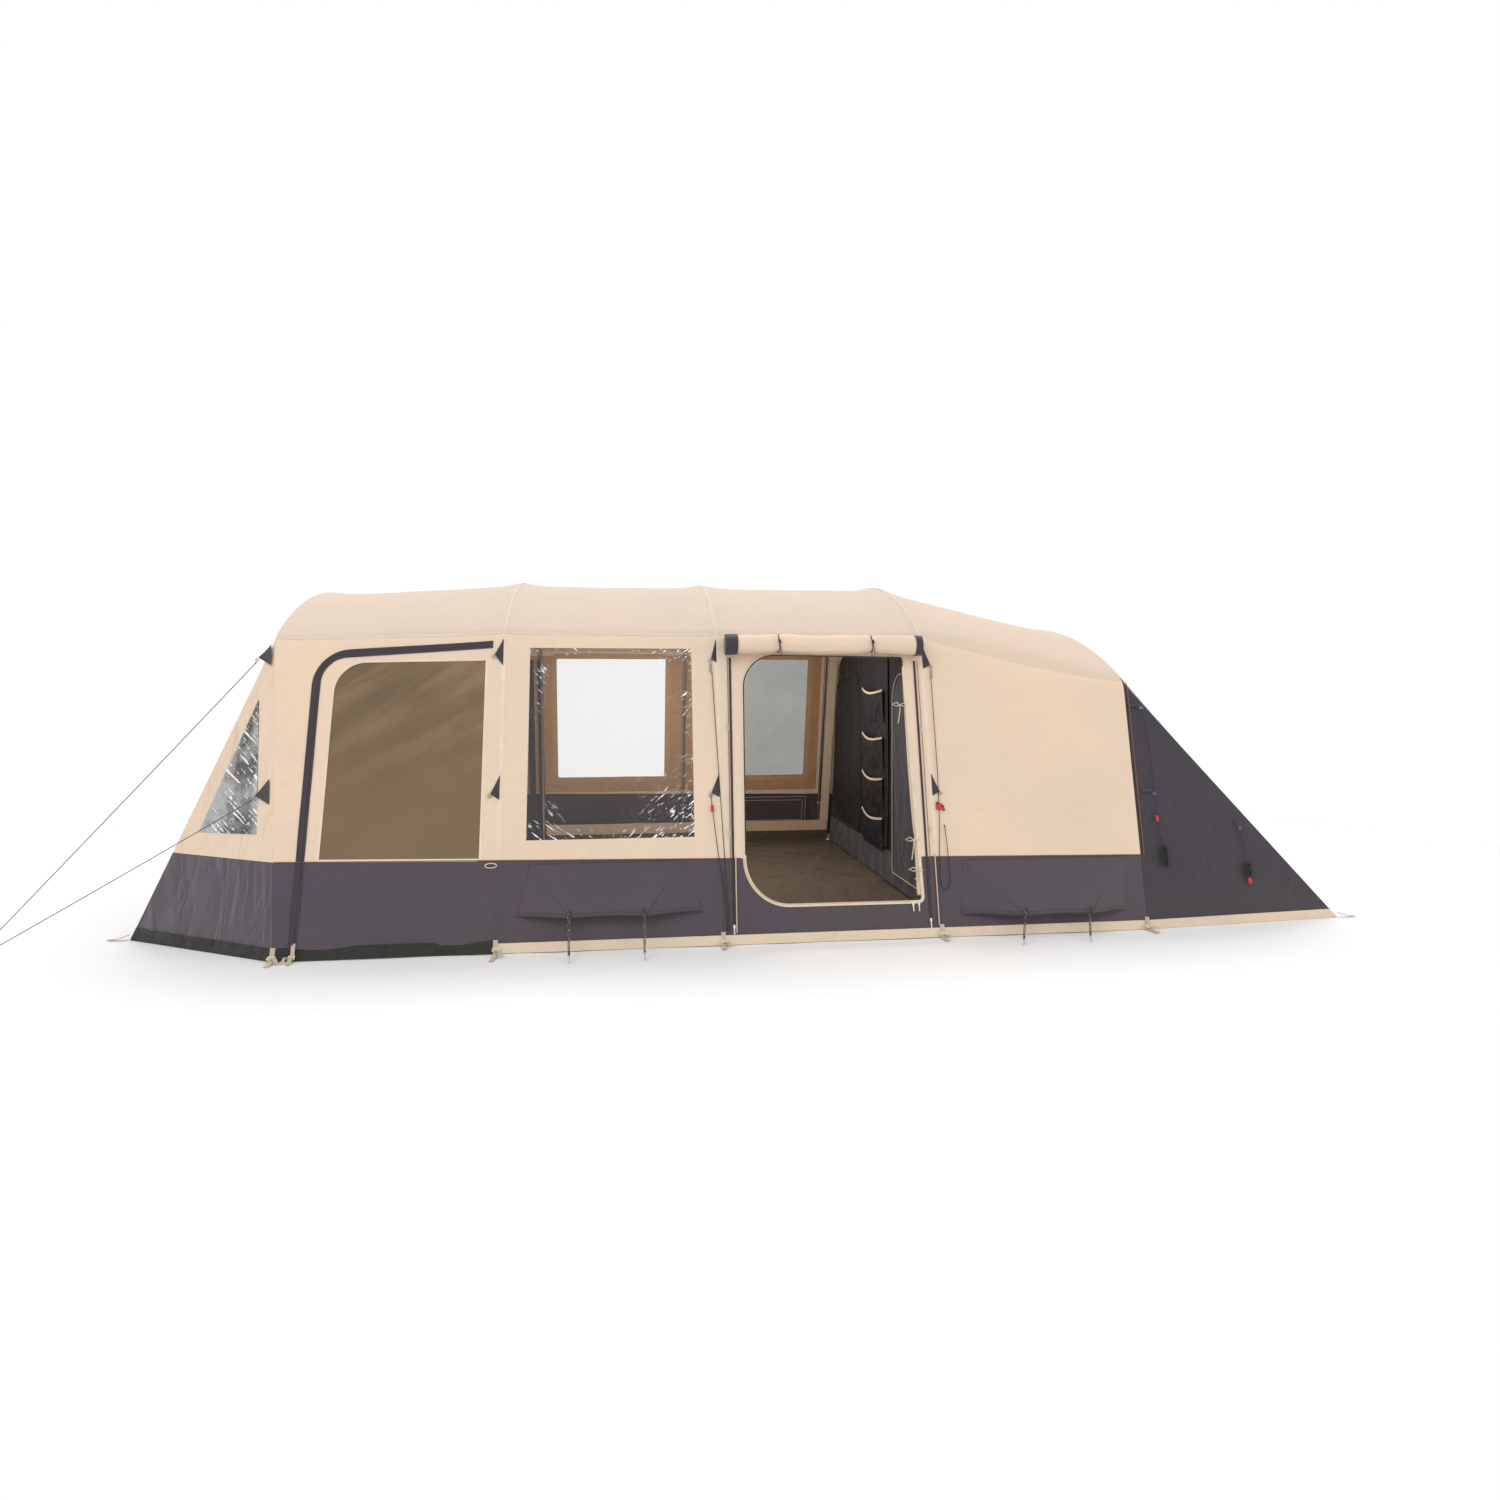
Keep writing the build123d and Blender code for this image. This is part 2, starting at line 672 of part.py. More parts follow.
# taut front ropes, from their rings to the ground in front of the tent
FRONT_UPPER = [(-2789, -1275, 1523), (-4050, -1540, 12)]
FRONT_LOWER = [(-2752, -1440, 790), (-4050, -1556, 8)]
for name, route in [("guy_front_upper", FRONT_UPPER), ("guy_front_lower", FRONT_LOWER)]:
    rope(name, [Vector(*point) for point in route], CORD_R)

# spare rope, wound into flat hanks: x and z of the middle, width, length
HANKS = {"hank_rear_upper": (2352, 398, 58, 150), "hank_rear_lower": (2902, 300, 64, 100)}
HANK_THICK = 26
for name, (x, z, width, length) in HANKS.items():
    centre = on_slope(rear_side, x, z, CLOTH + 2)
    with BuildPart() as hank:
        with BuildSketch(Plane(origin=centre, x_dir=rear_side.x_dir, z_dir=rear_side.z_dir)):
            SlotOverall(length, width, rotation=90)
        extrude(amount=HANK_THICK)
        fillet(hank.edges().filter_by(GeomType.CIRCLE), 8)
    save(hank, name)

# line runners: plane, point low on its run, point high on its run, share of the run
RUNNER = (15, 24, 9)        # width, length, thickness
RUNNER_BORE = CORD_R + 0.75


def runner(name, cloth_plane, low, high, z):
    """Slotted runner round a straight stretch of rope; prints the way that it slides."""
    share = (z - low[1]) / (high[1] - low[1])
    start = on_slope(cloth_plane, *low, ON_WALL)
    stop = on_slope(cloth_plane, *high, ON_WALL)
    along = (stop - start).normalized()
    centre = start + (stop - start) * share
    width, length, thickness = RUNNER
    with BuildPart() as slider:
        across = cloth_plane.z_dir.cross(along)
        with BuildSketch(Plane(origin=centre - along * (length / 2), x_dir=across, z_dir=along)):
            Rectangle(width, thickness)
            Circle(RUNNER_BORE, mode=Mode.SUBTRACT)
        extrude(amount=length)
    save(slider, name)
    print(name, "slides along", along)


runner("runner_hoop3", near_wall, HOOP3_LOWER[1], HOOP3_LOWER[0], 716)
runner("runner_hoop4", near_wall, HOOP4[3], HOOP4[2], 704)
runner("runner_rear_upper", rear_side, REAR_UPPER[3], REAR_UPPER[2], 612)
with BuildPart() as runner_rear_lower:
    centre = on_slope(rear_side, 2902, 236, ON_WALL - RUNNER[2] / 2)
    with BuildSketch(Plane(origin=centre, x_dir=rear_side.x_dir, z_dir=rear_side.z_dir)):
        Rectangle(RUNNER[1], RUNNER[0])
    extrude(amount=RUNNER[2])
save(runner_rear_lower, "runner_rear_lower")


# ---- zip sliders -------------------------------------------------------------------
def slider(name, places, lift):
    """Zip sliders with their pulls, at (x, z) on the near wall."""
    with BuildPart() as piece:
        for x, z in places:
            origin = on_slope(near_wall, x, z, lift)
            plane = Plane(origin=origin, x_dir=(1, 0, 0), z_dir=near_wall.z_dir)
            with BuildSketch(plane):
                SlotOverall(22, 12, rotation=90)
            extrude(amount=4)
            with BuildSketch(plane.offset(2)):
                with Locations((0, -24)):
                    Rectangle(7, 34)
            extrude(amount=2)
    save(piece, name)


slider("cover_zip_left", [(-201.7, 92)], TRIM_LIFT + ZIP_THICK + SEAM)
slider("cover_zip_right", [(903.2, 92)], TRIM_LIFT + ZIP_THICK + SEAM)
slider("door_zip", [(808, 180), (841, 180)], TRIM_LIFT)

# ---- foot straps -------------------------------------------------------------------
EYELET_FROM_END = 14
# outer ends of the straps at the hoops, front to rear
STRAP_ENDS_Y = [1800, STRAP_REACH_Y, 1800, 1800, 1800]
STRAP_ON_WALL = 100         # height of the part of a strap that is sewn to the wall

with BuildPart() as foot_straps:
    for (foot_x, _, _, _), reach in zip(HOOPS, STRAP_ENDS_Y):
        start = FOOT_HALF + 3 * CLOTH
        with BuildSketch():
            with Locations((foot_x, -(start + reach) / 2)):
                Rectangle(STRAP_WIDTH, reach - start)
            with Locations((foot_x, EYELET_FROM_END - reach)):
                Circle(EYELET_R, mode=Mode.SUBTRACT)
        extrude(amount=STRAP_THICK)
        half = STRAP_WIDTH / 2
        corners = [(foot_x - half, 8), (foot_x + half, 8)]
        corners += [(foot_x + half, STRAP_ON_WALL), (foot_x - half, STRAP_ON_WALL)]
        extrude(flat_shape(near_wall, corners, TRIM_LIFT), amount=STRAP_THICK)
    for end, corner_x, corner_y in [(-1, -FRONT_X, FRONT_HALF), (1, REAR_X, REAR_HALF)]:
        start = corner_x + 3 * CLOTH
        with BuildSketch():
            with Locations((end * (start + STRAP_REACH_X) / 2, -corner_y)):
                Rectangle(STRAP_REACH_X - start, STRAP_WIDTH)
            with Locations((end * (STRAP_REACH_X - EYELET_FROM_END), -corner_y)):
                Circle(EYELET_R, mode=Mode.SUBTRACT)
        extrude(amount=STRAP_THICK)
    mirror(about=Plane.XZ)
save(foot_straps, "foot_straps")

# ---- groundsheet -------------------------------------------------------------------
SHEET_FRONT = -1440
SHEET_REAR = 3360
SHEET_HALF = 1640
SHEET_REAR_HALF = 1530
TUB_INSET = 50
TUB_HEIGHT = 120
CABIN_X = 1066              # inside of the sleeping cabin's front wall

with BuildPart() as groundsheet:
    with BuildSketch():
        with BuildLine():
            Polyline(
                (SHEET_FRONT, -SHEET_HALF),
                (HOOPS[4][0], -SHEET_HALF),
                (SHEET_REAR, -SHEET_REAR_HALF),
                (SHEET_REAR, SHEET_REAR_HALF),
                (HOOPS[4][0], SHEET_HALF),
                (SHEET_FRONT, SHEET_HALF),
                close=True,
            )
        make_face()
    extrude(amount=CLOTH)
    tub = [(SHEET_FRONT, 6), (CABIN_X - 20, 6), (CABIN_X - 20, TUB_HEIGHT), (SHEET_FRONT, TUB_HEIGHT)]
    extrude(flat_shape(near_wall, tub, -TUB_INSET), amount=CLOTH)
    mirror(about=Plane.XZ)
save(groundsheet, "groundsheet")

# ---- sleeping cabin ----------------------------------------------------------------
CABIN_INSET = 100           # cabin wall inside the tent wall
CABIN_LOW = 10
CABIN_TOP = 1560
CABIN_PEAK = (850, 1760)    # half width and height of the front wall's top edge
CABIN_BREAK = (2120, 1330)  # where the cabin's roof turns down to the rear
CABIN_REAR = (3250, 1440)
CABIN_DOOR = [(-1150, 110), (-420, 110), (-420, 1480), (-1150, 1480)]
CABIN_DOOR_RADII = [30, 30, 200, 200]


def cabin_side(x, z):
    return (x, -(wall_y(z) - CABIN_INSET), z)


cabin_wall = [
    cabin_side(CABIN_X, CABIN_LOW),
    cabin_side(CABIN_X, CABIN_TOP),
    cabin_side(*CABIN_BREAK),
    cabin_side(CABIN_BREAK[0] + 60, CABIN_LOW),
]
cabin_back_corner = (CABIN_REAR[0], -CABIN_REAR[1], CABIN_LOW)
cabin_gusset = [cabin_wall[2], cabin_back_corner, cabin_wall[3]]
cabin_top = [cabin_wall[1], cabin_wall[2]]
cabin_back = [cabin_wall[2], cabin_back_corner]
cloth(
    "bedroom_cabin",
    [
        flat_outline(cabin_wall, (0, -1, 0)),
        flat_outline(mirrored(cabin_wall), (0, 1, 0)),
        flat_outline(cabin_gusset, (1, -1, 0)),
        flat_outline(mirrored(cabin_gusset), (1, 1, 0)),
        flat_outline(cabin_top + mirrored(cabin_top)[::-1], (0, 0, 1)),
        flat_outline(cabin_back + mirrored(cabin_back)[::-1], (1, 0, 0)),
    ],
)

half_low = wall_y(CABIN_LOW) - CABIN_INSET
half_top = wall_y(CABIN_TOP) - CABIN_INSET
outline = [(-half_low, CABIN_LOW), (half_low, CABIN_LOW), (half_top, CABIN_TOP), CABIN_PEAK]
outline += [(-CABIN_PEAK[0], CABIN_PEAK[1]), (-half_top, CABIN_TOP)]
with BuildPart() as bedroom_front:
    with BuildSketch(Plane(origin=(CABIN_X - 2 * SEAM, 0, 0), x_dir=(0, 1, 0), z_dir=(1, 0, 0))):
        with BuildLine():
            Polyline(*outline, close=True)
        make_face()
        with BuildLine():
            FilletPolyline(*CABIN_DOOR, radius=CABIN_DOOR_RADII, close=True)
        make_face(mode=Mode.SUBTRACT)
    extrude(amount=-CLOTH)
save(bedroom_front, "bedroom_front")
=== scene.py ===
import math

import bpy
import numpy as np
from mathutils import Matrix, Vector
from mathutils.geometry import delaunay_2d_cdt


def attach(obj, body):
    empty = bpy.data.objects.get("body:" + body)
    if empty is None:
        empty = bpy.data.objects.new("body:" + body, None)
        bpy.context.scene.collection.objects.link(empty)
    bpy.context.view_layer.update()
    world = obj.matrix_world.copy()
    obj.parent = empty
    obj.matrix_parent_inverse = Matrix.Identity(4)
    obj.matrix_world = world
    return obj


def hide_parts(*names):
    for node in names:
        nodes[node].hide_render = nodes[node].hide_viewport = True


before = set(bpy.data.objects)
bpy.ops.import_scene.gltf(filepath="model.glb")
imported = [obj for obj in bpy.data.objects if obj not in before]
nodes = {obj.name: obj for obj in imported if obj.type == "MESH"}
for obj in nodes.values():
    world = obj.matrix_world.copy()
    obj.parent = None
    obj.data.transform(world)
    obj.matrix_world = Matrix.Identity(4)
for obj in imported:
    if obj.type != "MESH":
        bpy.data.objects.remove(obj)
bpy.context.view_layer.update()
scene = bpy.context.scene

# ---- camera --------------------------------------------------------------------------
camera = bpy.data.objects.new("camera", bpy.data.cameras.new("camera"))
scene.collection.objects.link(camera)
camera.location = (-0.827, -6.803, 1.399)
camera.rotation_euler = (math.pi / 2, 0, -0.138)
camera.data.sensor_width = 36
camera.data.lens = 22.84
camera.data.shift_y = -0.0428
camera.data.clip_end = 200
scene.camera = camera
scene.view_settings.view_transform = "Standard"

# ---- the tent's sizes, in metres, as in the CAD --------------------------------------
LEAN = 400 / 1700
SLOPE = math.hypot(1, LEAN)
FOOT_HALF = 1.700
HEM = 0.050
BAND_FRONT, BAND_REAR = 0.484, 0.412
HOOPS = np.array([
    (-2.560, -0.070, 1.660, 2.020),
    (-1.460, 0.000, 1.700, 2.100),
    (-0.262, 0.000, 1.700, 2.100),
    (0.965, 0.000, 1.700, 2.100),
    (2.190, 0.025, 1.432, 1.810),
])
FRONT_X, FRONT_HALF = -3.480, 1.150
REAR_X, REAR_HALF = 3.480, 1.590
NEAR, FAR = -1, 1
ELBOW = 0.17                # radius of the cloth round the hoops' shoulders
ROOF_SAG, WALL_SAG = 0.022, 0.008
CLOTH_LIFT = 0.0015         # middle of a wall cloth outside its plane
FILM_LIFT = 0.0008          # the same for window film and mesh
TAPE_LIFT = 0.0028          # a seam tape on the cloth

MESH = ([(-2.371, .492), (-1.559, .478), (-1.557, 1.542), (-2.352, 1.525)], [0, 0, 0, .165])
WINDOW_NEAR = ([(-1.316, .567), (-.408, .567), (-.408, 1.615), (-1.316, 1.615)], [0, 0, 0, 0])
WINDOWS_FAR = [
    ([(-1.340, .604), (-.420, .604), (-.420, 1.633), (-1.340, 1.633)], [.02] * 4),
    ([(-.105, .604), (.815, .604), (.815, 1.633), (-.105, 1.633)], [.02] * 4),
]
DOORWAY = ([(-.132, .200), (.862, .196), (.842, 1.568), (-.108, 1.579)], [.240, .020, .015, .190])
# outline of the brown sheet inside the far wall that stands for its shade: painted shade
INNER_SHADE_OUTLINE = [(-2.420, .480), (.930, .480), (.930, 1.675), (-2.420, 1.640)]
GUSSET_WINDOW = [(-2.759, -1.317, 1.324), (-3.086, -1.265, .603), (-2.708, -1.489, .617)]


# ---- materials -----------------------------------------------------------------------
class Nodes:
    """A material under construction: each method adds a node and returns its output."""

    def __init__(self, name):
        self.material = bpy.data.materials.new(name)
        self.material.use_nodes = True
        self.tree = self.material.node_tree
        self.shader = self.tree.nodes["Principled BSDF"]
        self.coordinates = self.tree.nodes.new("ShaderNodeTexCoord")

    def put(self, socket, value):
        if hasattr(value, "is_linked"):
            self.tree.links.new(value, socket)
        else:
            socket.default_value = value

    def add(self, kind, **inputs):
        node = self.tree.nodes.new(kind)
        for name, value in inputs.items():
            self.put(node.inputs[name], value)
        return node

    def math(self, operation, a, b=0.0):
        node = self.tree.nodes.new("ShaderNodeMath")
        node.operation = operation
        self.put(node.inputs[0], a)
        self.put(node.inputs[1], b)
        return node.outputs[0]

    def axes(self, source="Object"):
        node = self.add("ShaderNodeSeparateXYZ", Vector=self.coordinates.outputs[source])
        return node.outputs[0], node.outputs[1], node.outputs[2]

    def mapped(self, scale, source="Object", turn=(0, 0, 0)):
        node = self.add("ShaderNodeMapping", Vector=self.coordinates.outputs[source])
        node.inputs["Scale"].default_value = scale
        node.inputs["Rotation"].default_value = turn
        return node.outputs[0]

    def noise(self, vector, scale, detail=3.0, rough=0.55, distortion=0.0):
        node = self.add("ShaderNodeTexNoise", Vector=vector, Scale=scale, Detail=detail,
                        Roughness=rough, Distortion=distortion)
        return node.outputs[0]

    def span(self, value, low, high, to_low=0.0, to_high=1.0):
        node = self.tree.nodes.new("ShaderNodeMapRange")
        self.put(node.inputs[0], value)
        for socket, number in zip(list(node.inputs)[1:5], (low, high, to_low, to_high)):
            self.put(socket, number)
        return node.outputs[0]

    def mix(self, share, a, b, blend="MIX"):
        node = self.tree.nodes.new("ShaderNodeMix")
        node.data_type = "RGBA"
        node.blend_type = blend
        self.put(node.inputs[0], share)
        self.put(node.inputs[6], a)
        self.put(node.inputs[7], b)
        return node.outputs[2]

    def bump(self, height, distance, normal=None):
        node = self.add("ShaderNodeBump", Height=height)
        node.inputs["Distance"].default_value = distance
        if normal is not None:
            self.put(node.inputs["Normal"], normal)
        return node.outputs[0]

    def finish(self, **sockets):
        for name, value in sockets.items():
            self.put(self.shader.inputs[name.replace("_", " ")], value)
        return self.material


def rgb(red, green, blue):
    """Colour as seen on a screen, 0 to 255, as linear light."""
    parts = [c / 255 for c in (red, green, blue)]
    return (*[c / 12.92 if c <= 0.04045 else ((c + 0.055) / 1.055) ** 2.4 for c in parts], 1)


def shade(color, factor):
    return (*[min(1.0, c * factor) for c in color[:3]], 1)


def woven(name, color, yarn=0.0016, depth=0.00015, rough=0.85, mottle=0.06, creases=0.0012,
          crease_scale=5.0, sheen=0.15, low_browning=0.0, stretch=(1, 1, 1)):
    """Plain-woven cloth: yarns over and under, slubs, mottling, soft creases, browner patches near
    the bottom.
    """
    m = Nodes(name)
    x, y, z = m.axes()
    turns = 2 * math.pi / yarn
    up = m.math("ADD", z, m.math("MULTIPLY", y, 0.83))
    warp = m.math("SINE", m.math("MULTIPLY", x, turns))
    weft = m.math("SINE", m.math("MULTIPLY", up, turns))
    weave = m.math("MULTIPLY", warp, weft)
    slubs_along = m.noise(m.mapped((8, 8, 420)), 1.0, 2.0)
    slubs_up = m.noise(m.mapped((420, 420, 8)), 1.0, 2.0)
    slubs = m.math("ADD", slubs_along, slubs_up)
    blotch = m.noise(m.coordinates.outputs["Object"], 1.7, 5.0, 0.6)
    cool = shade(color, 1 - mottle)
    warm = (min(1, color[0] * (1 + mottle)), color[1], color[2] * (1 - mottle * 0.6), 1)
    tone = m.mix(m.span(blotch, 0.3, 0.7), cool, warm)
    tone = m.mix(m.span(slubs, 0.75, 1.3, 0.0, 0.22), tone, shade(color, 0.78))
    tone = m.mix(m.span(weave, -1, 1, 0.12, 0.0), tone, shade(color, 0.55))
    # the colour turns browner in patches from 0.32 m down to the bottom of the cloth
    if low_browning:
        low = m.span(z, 0.02, 0.32, low_browning, 0.0)
        patchy = m.math("MULTIPLY", low, m.noise(m.coordinates.outputs["Object"], 9, 6, 0.7))
        tone = m.mix(patchy, tone, rgb(120, 104, 82))
    folds = m.noise(m.mapped(stretch), crease_scale, 3.0, 0.45, 1.2)
    normal = m.bump(folds, creases * 8)
    normal = m.bump(slubs, 0.0001, normal)
    normal = m.bump(weave, depth, normal)
    dull = m.span(blotch, 0.3, 0.7, rough - 0.05, min(1.0, rough + 0.05))
    return m.finish(Base_Color=tone, Roughness=dull, Normal=normal, Sheen_Weight=sheen,
                    Sheen_Roughness=0.5, Specular_IOR_Level=0.25)


def film(name, tint, see=0.14, glint_strength=0.0, spread=0.0, painted_dark_patches=0.0):
    """Clear window film: mostly seen through, with painted white highlights on its creases."""
    m = Nodes(name)
    where = m.coordinates.outputs["Object"]
    fine = m.noise(where, 3.0, 4.0, 0.5)
    alpha = m.span(fine, 0.2, 0.8, see * 0.9, see * 1.1)
    color = m.mix(m.span(fine, 0.3, 0.7), tint, shade(tint, 1.08))
    if painted_dark_patches:
        # dark patches painted on the film for the shaded inside seen through it: painted shade
        patch = m.span(m.noise(where, 4.5, 3.0, 0.6), 0.42, 0.60)
        color = m.mix(m.math("MULTIPLY", patch, painted_dark_patches), color, rgb(52, 54, 58))
    height = fine
    if glint_strength:
        # white, nearly opaque streaks and specks along the creases: painted highlights
        x, y, z = m.axes()
        slant = m.span(x, -0.95, -0.80, -0.62, 0.62)
        across = m.math("SUBTRACT", m.math("MULTIPLY", z, 0.78), m.math("MULTIPLY", x, slant))
        along = m.math("ADD", m.math("MULTIPLY", x, 0.78), m.math("MULTIPLY", z, slant))
        streaks = m.add("ShaderNodeCombineXYZ", X=m.math("MULTIPLY", across, 95.0),
                        Y=m.math("MULTIPLY", m.math("ADD", along, y), 15.0), Z=0.0)
        thin = m.span(m.noise(streaks.outputs[0], 1.0, 2.0, 0.45, 0.35), 0.575, 0.62)
        patches = m.span(m.noise(where, 5.5, 2.0, 0.5), 0.40 - spread, 0.58 - spread)
        specks = m.span(m.noise(where, 95.0, 2.0, 0.6), 0.66, 0.70)
        broken = m.math("MULTIPLY", m.span(m.noise(where, 30.0, 3.0, 0.65), 0.44, 0.54), patches)
        zone = m.tree.nodes.new("ShaderNodeAttribute")
        zone.attribute_name = "glint_zone"
        thin = m.math("MAXIMUM", thin, m.math("MULTIPLY", specks, 0.8))
        glint_mask = m.math("MULTIPLY", m.math("MULTIPLY", thin, broken), zone.outputs["Fac"])
        glint_mask = m.math("MINIMUM", m.math("MULTIPLY", glint_mask, glint_strength), 0.95)
        alpha = m.math("MAXIMUM", alpha, glint_mask)
        color = m.mix(glint_mask, color, (1, 1, 1, 1))
        height = m.math("ADD", fine, m.math("MULTIPLY", glint_mask, 0.6))
    normal = m.bump(height, 0.01)
    return m.finish(Base_Color=color, Alpha=alpha, Roughness=0.12, Normal=normal,
                    Specular_IOR_Level=0.7, Coat_Weight=0.2)


def moulded(name, color, rough=0.35, metallic=0.0, grain=240.0, depth=0.0001):
    """Moulded plastic or metal: fine grain, faint clouding and scuffs."""
    m = Nodes(name)
    where = m.coordinates.outputs["Object"]
    grains = m.noise(where, grain, 4.0, 0.6)
    cloud = m.noise(where, 14.0, 4.0, 0.6)
    scuff = m.span(m.noise(m.mapped((300, 300, 20)), 1.0, 3.0, 0.6), 0.62, 0.72)
    tone = m.mix(m.span(cloud, 0.3, 0.7), shade(color, 0.88), shade(color, 1.1))
    tone = m.mix(m.math("MULTIPLY", scuff, 0.3), tone, shade(color, 1.6))
    dull = m.span(grains, 0.3, 0.7, rough * 0.8, rough * 1.25)
    return m.finish(Base_Color=tone, Roughness=dull, Metallic=metallic,
                    Normal=m.bump(grains, depth))


def braided(name, dark, light, pitch=0.006):
    """Braided cord with light flecks that wind round it."""
    m = Nodes(name)
    x, y, z = m.axes()
    along = m.math("ADD", m.math("ADD", x, z), m.math("MULTIPLY", y, 0.7))
    turns = 2 * math.pi / pitch
    across = m.math("SUBTRACT", x, z)
    one = m.math("SINE", m.math("MULTIPLY", along, turns))
    other = m.math("SINE", m.math("MULTIPLY", across, turns * 1.3))
    cells = m.math("MULTIPLY", one, other)
    fleck = m.span(m.noise(m.coordinates.outputs["Object"], 170.0, 1.0), 0.5, 0.6)
    share = m.math("MULTIPLY", m.span(cells, 0.0, 0.5), fleck)
    tone = m.mix(share, dark, light)
    return m.finish(Base_Color=tone, Roughness=m.span(cells, -1, 1, 0.9, 0.65),
                    Normal=m.bump(cells, 0.0006), Sheen_Weight=0.2)


def webbing(name, color):
    """Narrow webbing: close ribs across it and a lighter wear along them."""
    m = Nodes(name)
    x, y, z = m.axes()
    along = m.math("ADD", m.math("ADD", y, z), m.math("MULTIPLY", x, 0.3))
    ribs = m.math("SINE", m.math("MULTIPLY", along, 2 * math.pi / 0.0028))
    worn = m.noise(m.coordinates.outputs["Object"], 40.0, 4.0, 0.6)
    tone = m.mix(m.span(worn, 0.3, 0.7), shade(color, 0.86), color)
    tone = m.mix(m.span(ribs, -1, 1, 0.3, 0.0), tone, shade(color, 0.6))
    return m.finish(Base_Color=tone, Roughness=m.span(worn, 0.3, 0.7, 0.8, 0.92),
                    Normal=m.bump(ribs, 0.0004), Sheen_Weight=0.2)


def taped(name, color, thread, width):
    """Folded seam tape with two rows of stitches; u runs along it and v across, in metres."""
    m = Nodes(name)
    u, v, _ = m.axes("UV")
    away = m.math("ABSOLUTE", m.math("SUBTRACT", m.math("ABSOLUTE", v), width * 0.36))
    row = m.span(away, 0.0006, 0.0014, 1.0, 0.0)
    step = m.math("FRACT", m.math("MULTIPLY", u, 1 / 0.0045))
    stitch = m.math("MULTIPLY", row, m.span(m.math("ABSOLUTE", m.math("SUBTRACT", step, 0.5)),
                                            0.32, 0.4, 1.0, 0.0))
    yarns = m.math("MULTIPLY", m.math("SINE", m.math("MULTIPLY", u, 3900.0)),
                   m.math("SINE", m.math("MULTIPLY", v, 3900.0)))
    worn = m.noise(m.coordinates.outputs["Object"], 12.0, 5.0, 0.6)
    tone = m.mix(m.span(worn, 0.3, 0.7), shade(color, 0.92), shade(color, 1.04))
    tone = m.mix(m.span(yarns, -1, 1, 0.1, 0.0), tone, shade(color, 0.6))
    # the stitch rows are darkened where the tape dips: painted shade
    tone = m.mix(row, tone, shade(color, 0.88))
    tone = m.mix(stitch, tone, thread)
    pucker = m.math("SUBTRACT", m.math("MULTIPLY", stitch, 0.5), row)
    normal = m.bump(pucker, 0.0004)
    normal = m.bump(yarns, 0.0001, normal)
    return m.finish(Base_Color=tone, Roughness=m.span(worn, 0.3, 0.7, 0.8, 0.9), Normal=normal,
                    Sheen_Weight=0.1)


def netting(name, color):
    """Fine insect mesh: threads, holes painted darker for the shaded inside, painted light and
    shade on its folds.
    """
    m = Nodes(name)
    x, y, z = m.axes()
    turns = 2 * math.pi / 0.0014
    one = m.math("SINE", m.math("MULTIPLY", x, turns))
    other = m.math("SINE", m.math("MULTIPLY", z, turns))
    net = m.math("MAXIMUM", one, other)
    cloud = m.noise(m.coordinates.outputs["Object"], 2.4, 4.0, 0.55)
    across = m.math("SUBTRACT", m.math("MULTIPLY", z, 0.84), m.math("MULTIPLY", x, 0.54))
    along = m.math("ADD", m.math("MULTIPLY", x, 0.84), m.math("MULTIPLY", z, 0.54))
    slanted = m.add("ShaderNodeCombineXYZ", X=m.math("MULTIPLY", across, 10.0),
                    Y=m.math("MULTIPLY", along, 1.5))
    streak = m.noise(slanted.outputs[0], 1.0, 2.5, 0.5, 0.3)
    high = m.span(z, 0.8, 1.35)
    # lighter and darker streaks along the upper folds: painted light and shade
    light = m.math("MULTIPLY", m.span(streak, 0.5, 0.62), high)
    dark = m.math("MULTIPLY", m.span(streak, 0.5, 0.38), high)
    tone = m.mix(m.span(cloud, 0.3, 0.7), shade(color, 0.94), shade(color, 1.05))
    tone = m.mix(m.math("MULTIPLY", light, 0.4), tone, shade(color, 1.5))
    tone = m.mix(m.math("MULTIPLY", dark, 0.45), tone, shade(color, 0.6))
    # the holes between the threads are darkened for the shaded inside behind them: painted shade
    tone = m.mix(m.span(net, 0.0, 1.0, 0.25, 0.0), tone, shade(color, 0.45))
    normal = m.bump(streak, 0.010)
    return m.finish(Base_Color=tone, Roughness=m.span(net, 0.0, 1.0, 0.9, 0.6), Normal=normal,
                    Sheen_Weight=0.1, Specular_IOR_Level=0.3)


